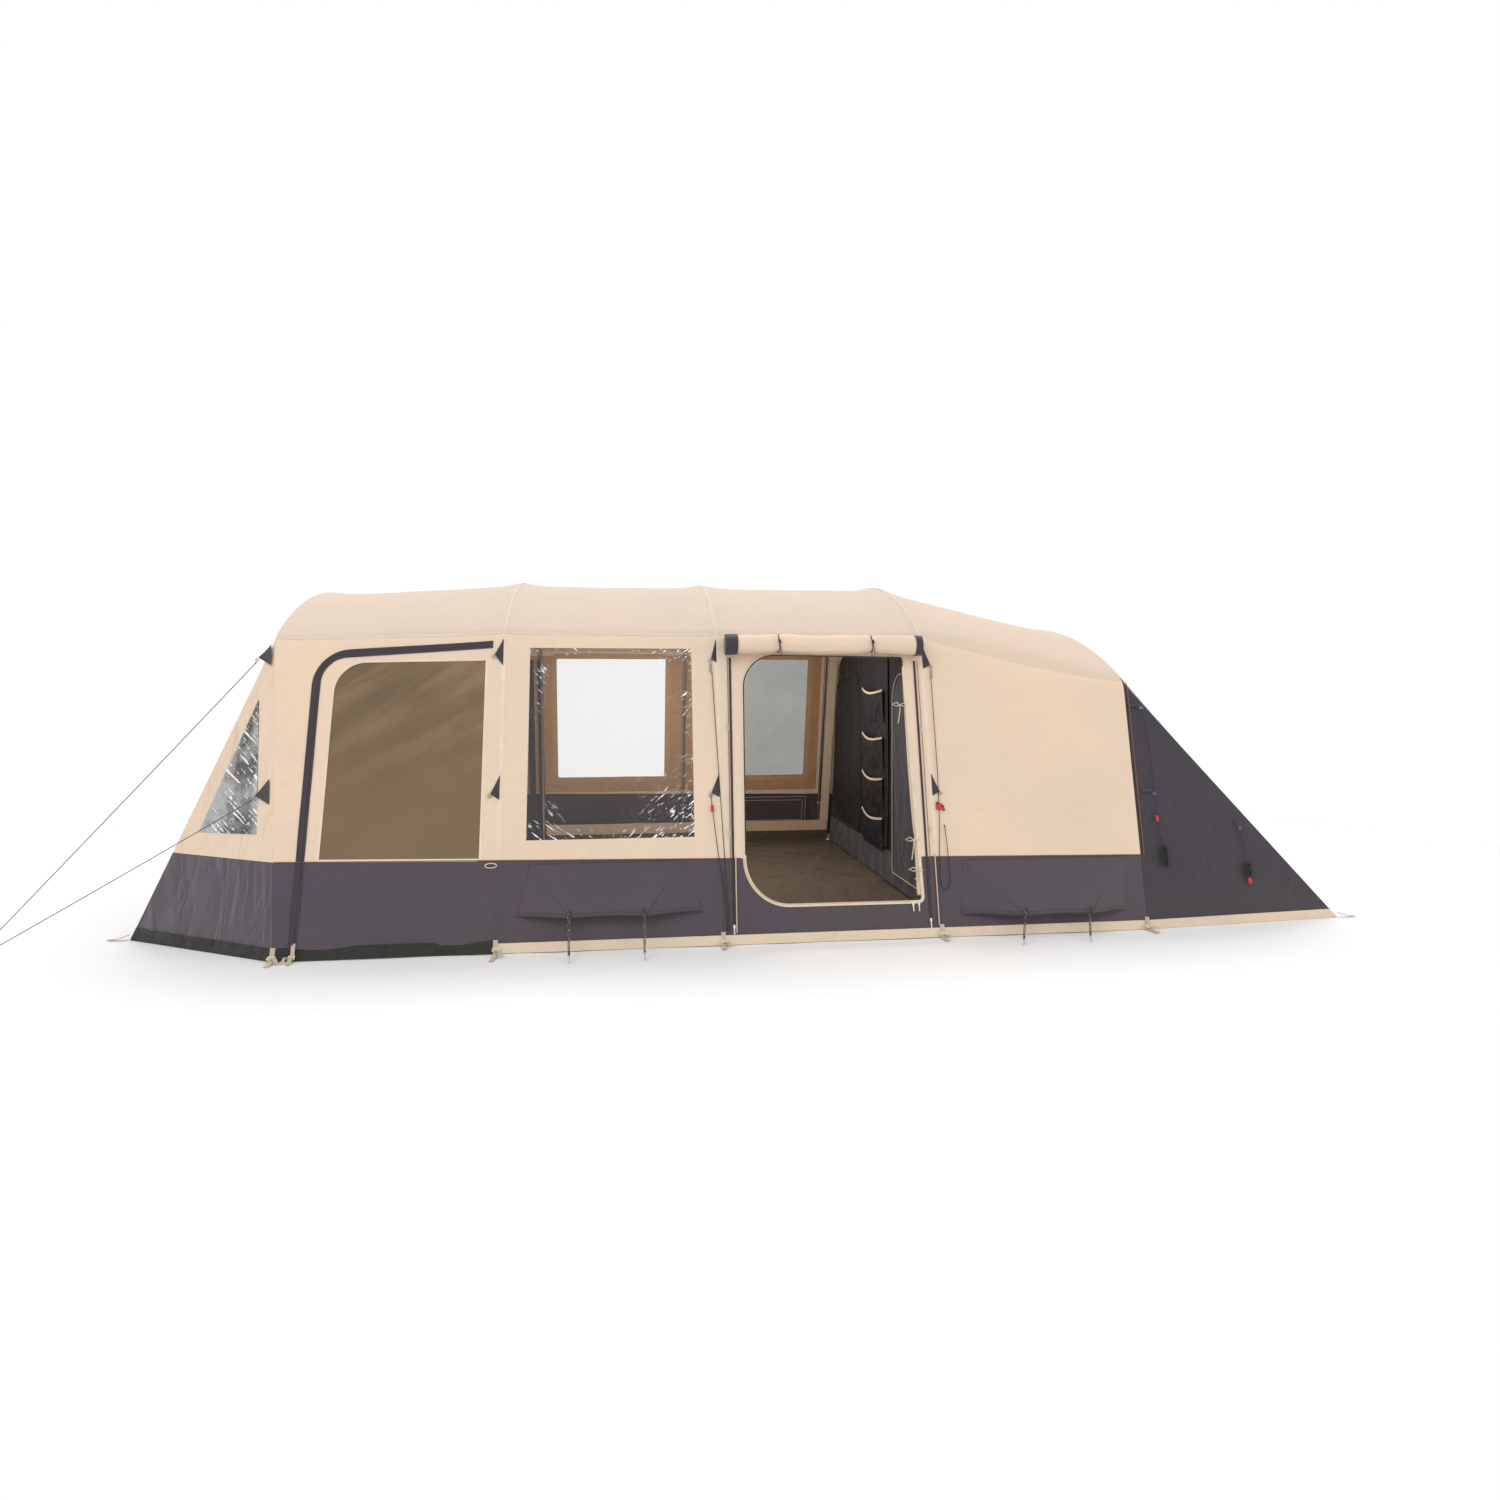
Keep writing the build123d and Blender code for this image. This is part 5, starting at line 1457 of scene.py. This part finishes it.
# ---- guy patches, rings and tabs ------------------------------------------------------
WALL_PATCHES = [
    (-1.462, 1.664, 1.512, 1.572, -.046), (-1.462, .912, .782, .812, -.048),
    (-.264, 1.672, 1.534, 1.552, -.032), (-.264, .908, .778, .800, -.046),
    (.967, 1.650, 1.500, 1.520, .044), (.967, .892, .766, .790, .042),
]
FRONT_PATCHES = [[(-2.694, 1.622), (-2.688, 1.510), (-2.766, 1.551)],
                 [(-2.650, .905), (-2.642, .775), (-2.726, .815)]]
REAR_TABS = [(2.236, 2.312, 1.280), (2.262, 2.326, .776), (2.862, 2.906, .566)]


def plane_outline_part(plane, outline, lift, tip=None):
    """Small cloth on a sloping cloth; the point tip stands off a little more."""
    flat, faces, area = filled(outline, (), 0.012)
    points = []
    for x, z in flat:
        extra = 0.0
        if tip:
            gap = math.hypot(x - tip[0], z - tip[1])
            extra = 0.006 * math.exp(-(gap / 0.03) ** 2)
        points.append(on_slope(plane, x, z, lift + extra))
    normal = plane[1]
    a, b, c = (Vector(points[i]) for i in faces[0])
    if (b - a).cross(c - a).dot(normal) < 0:
        faces = turned(faces)
    return (points, faces), area


parts = []
for x, top, bottom, tip, reach in WALL_PATCHES:
    outline = [(x, bottom), (x, top), (x + reach, tip)]
    part, _ = plane_outline_part(NEAR_PLANE, outline, 0.0048, (x + reach, tip))
    parts += both_sides(part)
for outline in FRONT_PATCHES:
    part, _ = plane_outline_part(FRONT_PLANE, outline, 0.0048, outline[2])
    parts += both_sides(part)
for left, right, z in REAR_TABS:
    outline = [(left, z - .009), (right, z - .007), (right, z + .007), (left, z + .009)]
    part, _ = plane_outline_part(REAR_PLANE, outline, 0.0048)
    parts += both_sides(part)
piece = join("guy_patches_cloth", parts, "patch", thick=0.002)
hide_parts("guy_patches")


def loop_part(points, radius, sides=8):
    """Closed round bar through points, as a mesh part."""
    points = [Vector(p) for p in points]
    count = len(points)
    made, faces = [], []
    normal = (points[1] - points[0]).cross(points[2] - points[1]).normalized()
    for i, point in enumerate(points):
        ahead = (points[(i + 1) % count] - points[i - 1]).normalized()
        side = ahead.cross(normal).normalized()
        for k in range(sides):
            a = 2 * math.pi * k / sides
            made.append(point + side * (radius * math.cos(a)) + normal * (radius * math.sin(a)))
    for i in range(count):
        n = (i + 1) % count
        for k in range(sides):
            m = (k + 1) % sides
            faces.append((i * sides + k, i * sides + m, n * sides + m, n * sides + k))
    return made, faces


# ---- foot straps ----------------------------------------------------------------------
straps, buckles = [], []
STRAP_ENDS = [1.800, 1.850, 1.800, 1.800, 1.800]


def strap_part(points, across, width=0.025):
    points = [Vector(p) for p in points]
    across = Vector(across).normalized() * (width / 2)
    return [q for p in points for q in (p - across, p, p + across)], grid_faces(len(points), 3)


def frame_part(centre, wide, tall, width, height, radius=0.0022):
    """Ladder buckle: a round-cornered frame with a bar across it."""
    centre, wide, tall = Vector(centre), Vector(wide).normalized(), Vector(tall).normalized()
    outline = rounded([(-width / 2, -height / 2), (width / 2, -height / 2), (width / 2, height / 2),
                       (-width / 2, height / 2)], [0.004] * 4, 0.003)
    ring = loop_part([centre + wide * x + tall * y for x, y in outline], radius)
    normal = wide.cross(tall)
    bars = []
    for y in (-height * 0.16, height * 0.16):
        bar = rounded([(-width / 2, y - 0.0012), (width / 2, y - 0.0012), (width / 2, y + 0.0012),
                       (-width / 2, y + 0.0012)], [0.001] * 4, 0.001)
        bars.append(loop_part([centre + wide * u + tall * w + normal * 0.0005 for u, w in bar],
                              radius * 0.8))
    return [ring] + bars


for hoop, reach in enumerate(STRAP_ENDS):
    x = HOOPS[hoop, 0]
    wall_high = on_slope(NEAR_PLANE, x, 0.068, 0.006)
    wall_low = on_slope(NEAR_PLANE, x, 0.030, 0.010)
    out = []
    for k in range(9):
        s = k / 8
        y = -(1.716 + (reach - 1.716) * s)
        z = 0.004 + 0.016 * (1 - s) ** 2 + 0.003 * math.sin(5 * s + hoop)
        out.append((x + 0.006 * math.sin(3 * s + hoop), y, max(0.0015, z)))
    part = strap_part([wall_high, wall_low] + out, (1, 0, 0))
    straps += both_sides(part)
    tail = strap_part([Vector(out[1]) + Vector((0.004, 0, 0.004)),
                       Vector(out[3]) + Vector((0.020, 0, .018)),
                       Vector(out[5]) + Vector((0.034, 0, 0.010))], (1, 0.3, 0), 0.020)
    straps += both_sides(tail)
    parts = frame_part(Vector(out[0]) + Vector((0, -0.004, 0.005)), (1, 0, 0), (0, -0.8, -0.25),
                       0.036, 0.030)
    buckles += [q for p in parts for q in both_sides(p)]
ARCH_STRAP_X = -2.462        # one more strap, beside the arched zip
out = [(ARCH_STRAP_X - 0.002, -1.712 - 0.009 * k, 0.012 + 0.012 * math.sin(0.8 * k))
       for k in range(9)]
straps.append(strap_part([on_slope(NEAR_PLANE, ARCH_STRAP_X, 0.085, 0.008),
                          on_slope(NEAR_PLANE, ARCH_STRAP_X, 0.035, 0.011)] + out,
                         (1, 0, 0), 0.020))
straps.append(strap_part([Vector(out[0]) + Vector((0, -0.004, 0.006)),
                          Vector(out[3]) + Vector((-0.022, 0, 0.012)),
                          Vector(out[5]) + Vector((-0.036, 0, -0.002))], (1, 0.3, 0), 0.016))
buckles += frame_part(Vector(out[0]) + Vector((0, -0.004, 0.010)), (1, 0, 0), (0, -0.6, -0.5),
                      0.030, 0.024)
for end, corner_x, corner_y in ((-1, -FRONT_X, FRONT_HALF), (1, REAR_X, REAR_HALF)):
    points = []
    for k in range(7):
        s = k / 6
        points.append((end * (corner_x + 0.009 + 0.111 * s), -corner_y - 0.004 * math.sin(4 * s),
                       max(0.0015, 0.004 + 0.022 * (1 - s) ** 2)))
    straps += both_sides(strap_part(points, (0, 1, 0)))
    parts = frame_part(Vector(points[1]) + Vector((0, 0, 0.004)), (0, 1, 0), (end, 0, -0.2),
                       0.034, 0.028)
    buckles += [q for p in parts for q in both_sides(p)]
piece = join("foot_straps_webbing", straps, "webbing", thick=0.0018)
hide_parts("foot_straps")
join("strap_buckles", buckles, "cream_plastic")

# red grips on the runners, in pairs where two ropes share a ring, with knots beside them
for name, body, shifts in [("runner_hoop3", "runner_hoop3", [0.0]),
                           ("runner_hoop4", "runner_hoop4", [-.010, .011]),
                           ("runner_rear_upper", "runner_rear_upper", [0.0]),
                           ("runner_rear_lower", "shell", [0.0])]:
    thing = nodes[name]
    corners = [thing.matrix_world @ v.co for v in thing.data.vertices]
    middle = sum(corners, Vector()) / len(corners)
    for number, shift in enumerate(shifts, 1):
        centre = middle + leaf_side * shift

        def grip_place(s, centre=centre):
            return centre + leaf_up * s, leaf_side, leaf_out

        def grip_section(s, a):
            flat = 1 - 0.38 * abs(math.sin(a)) ** 1.5
            return (0.0080 + 0.0035 * (s / 0.017) ** 2) * flat * (1 - max(0, abs(s) - 0.014) * 120)

        grip = rolled(grip_place, grip_section, list(np.linspace(-0.018, 0.018, 17)), 20)
        join(f"{name}_grip_{number}", [grip], "red", body=body)
    if len(shifts) > 1:
        for number, (x, z) in enumerate([(-.008, .021), (.024, .000), (.027, -.018)], 1):
            knot(f"{name}_knot_{number}", middle + leaf_side * x + leaf_up * z, leaf_up, 0.0032,
                 "rope", body)

# small woven tags beside the cover zips, and the storm loop by the second hoop
tags = []
for x, z in [(-.207, 1.159), (.926, 1.143), (-.214, .578), (.932, .576)]:
    outline = [(x - .006, z - .017), (x + .006, z - .017), (x + .006, z + .017),
               (x - .006, z + .017)]
    tags.append(plane_outline_part(NEAR_PLANE, outline, 0.009)[0])
join("wall_tags", tags, "webbing", thick=0.0012)
centre = on_slope(NEAR_PLANE, -1.496, 0.441, 0.006)
oval = [centre + Vector((0.030 * math.cos(a), 0, 0)) + leaf_up * (0.012 * math.sin(a))
        for a in np.linspace(0, 2 * math.pi, 28, endpoint=False)]
tube("storm_loop", oval, 0.0035, "cream_piping", closed=True)

# ---- groundsheet ----------------------------------------------------------------------
SHEET = [(-1.440, -1.640), (2.190, -1.640), (3.360, -1.530), (3.360, 1.530), (2.190, 1.640),
         (-1.440, 1.640)]
flat, faces, area = filled(SHEET, (), 0.036)
rise = 0.0035 + 0.0045 * np.clip(waves(flat[:, 0], flat[:, 1], 8, 0.5) + 0.3, 0, 2)
for turn, offset, height in ((0.5, -0.3, .014), (-0.35, 0.5, .012), (1.2, 0.9, .012),
                             (-1.0, 0.1, .010)):
    away = np.abs(flat[:, 0] * math.cos(turn) + flat[:, 1] * math.sin(turn) - offset)
    rise = rise + height * np.exp(-away / 0.03) * (0.6 + 0.4 * np.sin(flat[:, 1] * 3 + offset))
ground = np.stack([flat[:, 0], flat[:, 1], rise], axis=1)
parts = [(ground, faces)]
tub = [(-1.440, .006), (1.046, .006), (1.046, .110), (-1.440, .110)]
for side in (NEAR, FAR):
    part, size = wall_part(side, tub, [], 0.03, lift=-0.0485)
    parts.append(part)
    area += size
cloth("groundsheet_tarp", parts, "ground", 0.001, "groundsheet", "groundsheet", area, 3.28,
      held="laid", rests_on=["foot_straps"])

inner = [(-1.440, .020), (1.040, .020), (1.040, .200), (-1.440, .200)]
part, area = wall_part(FAR, inner, [], 0.03, lift=-0.0400)
piece = join("inner_draught_skirt", [part], "inner_beige", thick=0.001)

# ---- sleeping cabin -------------------------------------------------------------------
CABIN_X, CABIN_LOW, CABIN_TOP, INSET = 1.066, 0.010, 1.560, 0.100


def cabin_side(x, z):
    return (x, -(FOOT_HALF - LEAN * z - INSET), z)


cabin_wall = [cabin_side(CABIN_X, CABIN_LOW), cabin_side(CABIN_X, CABIN_TOP),
              cabin_side(2.120, 1.330), cabin_side(2.180, CABIN_LOW)]
back_corner = (3.250, -1.440, CABIN_LOW)
slopes = [
    (cabin_wall, (0, -1, 0)), ([cabin_wall[2], back_corner, cabin_wall[3]], (1, -1, 0)),
]
parts, area = [], 0.0
for corners, outward in slopes:
    part, size = plane_part(corners, outward, step=0.07, sag=0.012)
    parts += both_sides(part)
    area += 2 * size
for pair, outward in (([cabin_wall[1], cabin_wall[2]], (0, 0, 1)),
                      ([cabin_wall[2], back_corner], (1, 0, 0))):
    part, size = plane_part(pair + mirrored(pair)[::-1], outward, step=0.08, sag=0.03)
    parts.append(part)
    area += size
cloth("bedroom_cabin_cloth", parts, "cabin", 0.001, "bedroom_cabin", "cabin_cloth", area, 2.2,
      held="hung", rests_on=["groundsheet"])


def front_wall(outline, holes, lift, seed, step=0.045, sag=0.008):
    """Part of the cabin's front wall: outline as (y, z), lift toward the living area."""
    flat, faces, area = filled(outline, holes, step)
    hang = sag * waves(flat[:, 0] * 1.6, flat[:, 1] * 0.35, seed, 0.35) * 0.4
    x = CABIN_X - 0.002 - lift + hang
    return (np.stack([x, flat[:, 0], flat[:, 1]], axis=1), turned(faces)), area


half_low = FOOT_HALF - LEAN * CABIN_LOW - INSET
half_top = FOOT_HALF - LEAN * CABIN_TOP - INSET
outline = [(-half_low, CABIN_LOW), (half_low, CABIN_LOW), (half_top, CABIN_TOP), (.850, 1.760),
           (-.850, 1.760), (-half_top, CABIN_TOP)]
door = rounded([(-1.150, .110), (-.420, .110), (-.420, 1.480), (-1.150, 1.480)], [.03, .03, .2, .2])
part, area = front_wall(outline, [door], 0.0, 4)
cloth("bedroom_front_cloth", [part], "cabin", 0.001,
      "bedroom_front", "cabin_cloth", area, 3.2, held="hung", rests_on=["groundsheet"])
part, area = front_wall(door, [], 0.004, 6)
piece = join("bedroom_door_leaf", [part], "cabin_grey", thick=0.001)
kick = [(-1.56, .02), (1.56, .02), (1.52, .24), (-1.5, .24)]
part, area = front_wall(kick, [rounded([(-1.150, .110), (-.420, .110), (-.420, .30), (-1.150, .30)],
                                       [.03, .03, 0, 0])], 0.006, 4)
piece = join("bedroom_kick_panel", [part], "cabin_grey", thick=0.001)
column = [(-.30, .26), (.36, .26), (.36, 1.62), (-.30, 1.62)]
part, area = front_wall(column, [], 0.012, 9, 0.03, 0.014)
piece = join("bedroom_pocket_panel", [part], "cabin", thick=0.001)
for number, z in enumerate((1.375, 1.036, .744, .460), 1):
    u = np.linspace(0, 1, 24)
    y = -.22 + .56 * u
    sag = z - 0.03 * np.sin(math.pi * u) + 0.012 * (u - 0.5)
    points = np.stack([CABIN_X - 0.030 - 0.02 * np.sin(math.pi * u), y, sag], axis=1)
    ribbon(f"pocket_binding_{number}", points, [(0.25, 0, 1)] * 24, 0.016, "cream_tape")
    grid = grid_part(8, 24, lambda a, b: np.stack([
        CABIN_X - 0.018 - (0.012 + 0.02 * np.sin(math.pi * a)) * (1 - b) ** 0.6, -.22 + .56 * a,
        z - 0.03 * np.sin(math.pi * a) * (1 - b) - 0.24 * b], axis=1))
    join(f"pocket_{number}", [grid], "cabin", thick=0.001)
outer = rounded([(.44, .26), (1.40, .26), (1.26, 1.45), (.50, 1.50)], [.16, .16, .2, .2])
for name, rim, look in (("cabin_door_piping", outer, "black"),
                        ("cabin_doorway_piping", door, "cream_piping")):
    tube(name, [(CABIN_X - 0.014, y, z) for y, z in divided(rim, 0.03)], 0.004, look, closed=True)

# pocket on the far wall's dark band, inside
POCKET_X = (-.18, .84)


def pocket_outline(low, high, margin=0.0):
    x0, x1 = POCKET_X[0] + margin, POCKET_X[1] - margin
    return [(x0, low + margin), (x1, low + margin), (x1, high - margin), (x0, high - margin)]


part, area = wall_part(FAR, pocket_outline(.16, .425), [], 0.04, lift=-0.022)
piece = join("wall_pocket_1", [part], "charcoal", thick=0.001)
for word, margin in (("outer", 0.0), ("inner", 0.03)):
    line = divided(pocket_outline(.17, .415, margin), 0.05)
    tube(f"wall_pocket_1_{word}", wall_run(FAR, line, -0.0255), 0.0022, "cream_piping", closed=True)

heights = np.linspace(0.03, 1.62, 50)
sleeve = wall_point(FAR, 1.012 + 0.01 * heights, heights, -0.030)
ribbon("pole_sleeve", sleeve, [(1, 0, 0)] * 50, 0.075, "cream_tape")
for number, (x, width) in enumerate([(-1.470, .040), (-1.548, .050), (-.262, .022)], 1):
    ribbon(f"inner_dark_edge_{number}", wall_point(FAR, x + 0 * heights, heights, -0.024),
           [(1, 0, 0)] * 50, width, "dark_tape")

# toggles that hold the cloth to the hoops
ties = []
for hoop in range(5):
    for side in (NEAR, FAR):
        for z in (.35, .78, 1.22):
            half = FOOT_HALF - LEAN * z - 0.020 * SLOPE
            shift = {0: 0.028, 4: -0.028}.get(hoop, 0.0)
            centre = Vector((hoop_x(hoop, z) + shift, side * half, z))
            ring = [centre + Vector((0.0165 * math.cos(a), 0.0165 * math.sin(a),
                                     0.004 * math.sin(a)))
                    for a in np.linspace(0, 2 * math.pi, 16, endpoint=False)]
            ties.append(loop_part(ring, 0.0034, 6))
join("hoop_ties", ties, "webbing")

# ---- materials of the CAD pieces that show --------------------------------------------
for name, look in {
    "pole_feet": "rubber", "guy_rings": "wire", "cover_zips": "zip",
    **dict.fromkeys(["cover_zip_left", "cover_zip_right", "door_zip"], "cream_plastic"),
    **dict.fromkeys(["runner_hoop3", "runner_hoop4", "runner_rear_upper", "runner_rear_lower"],
                    "red"),
    **{f"hoop_{n}": "metal" for n in range(1, 6)},
}.items():
    data = nodes[name].data
    data.materials.clear()
    data.materials.append(LOOK[look])

# ---- floor, backdrop and light --------------------------------------------------------
floor_look = Nodes("studio_floor")
speck = floor_look.noise(floor_look.coordinates.outputs["Object"], 0.8, 4.0)
x, y, _ = floor_look.axes()
wide = floor_look.math("POWER", floor_look.math("MULTIPLY", x, 1 / 6.2), 2.0)
deep = floor_look.math("POWER", floor_look.math("MULTIPLY", y, 1 / 5.0), 2.0)
fade = floor_look.span(floor_look.math("ADD", wide, deep), 0.35, 1.3, 1.0, 0.0)
floor_look.finish(Base_Color=floor_look.mix(speck, (0.90, 0.90, 0.905, 1), (0.92, 0.92, 0.92, 1)),
                  Roughness=0.85, Alpha=fade)
LOOK["floor"] = floor_look.material
floor_mesh = bpy.data.meshes.new("floor")
floor_mesh.from_pydata([(-60, -40, -0.001), (60, -40, -0.001), (60, 80, -0.001), (-60, 80, -0.001)],
                       [], [(0, 1, 2, 3)])
floor_mesh.materials.append(floor_look.material)
floor = bpy.data.objects.new("floor", floor_mesh)
scene.collection.objects.link(floor)

world = bpy.data.worlds.new("studio")
scene.world = world
world.use_nodes = True
tree = world.node_tree
around = tree.nodes.new("ShaderNodeTexCoord")
parts_of = tree.nodes.new("ShaderNodeSeparateXYZ")
level = tree.nodes.new("ShaderNodeMapRange")
level.inputs["From Min"].default_value = -0.6
level.inputs["From Max"].default_value = 0.25
level.inputs["To Min"].default_value = 0.80
level.inputs["To Max"].default_value = 1.0
tree.links.new(around.outputs["Generated"], parts_of.inputs[0])
tree.links.new(parts_of.outputs["Y"], level.inputs["Value"])
tree.links.new(level.outputs["Result"], tree.nodes["Background"].inputs["Strength"])
tree.nodes["Background"].inputs["Color"].default_value = (1.0, 1.0, 1.0, 1)


def lamp(name, place, target, size, power, color=(1, 1, 1)):
    light = bpy.data.lights.new(name, "AREA")
    light.shape = "RECTANGLE"
    light.size, light.size_y = size
    light.energy = power
    light.color = color
    thing = bpy.data.objects.new(name, light)
    scene.collection.objects.link(thing)
    thing.location = place
    thing.rotation_euler = (Vector(target) - Vector(place)).to_track_quat("-Z", "Y").to_euler()


lamp("key", (-5.5, -8.0, 7.5), (0, -1, 0.8), (4, 3), 190)
lamp("fill", (7.0, -7.0, 4.5), (1, -1, 0.8), (5, 3), 60)
lamp("sky", (0, 3.2, 9.5), (0, -0.6, 0), (9, 3), 280)
lamp("inside", (-0.3, -0.1, 1.74), (-0.25, 0.3, 0), (2.2, 0.9), 26, (1.0, 0.90, 0.78))
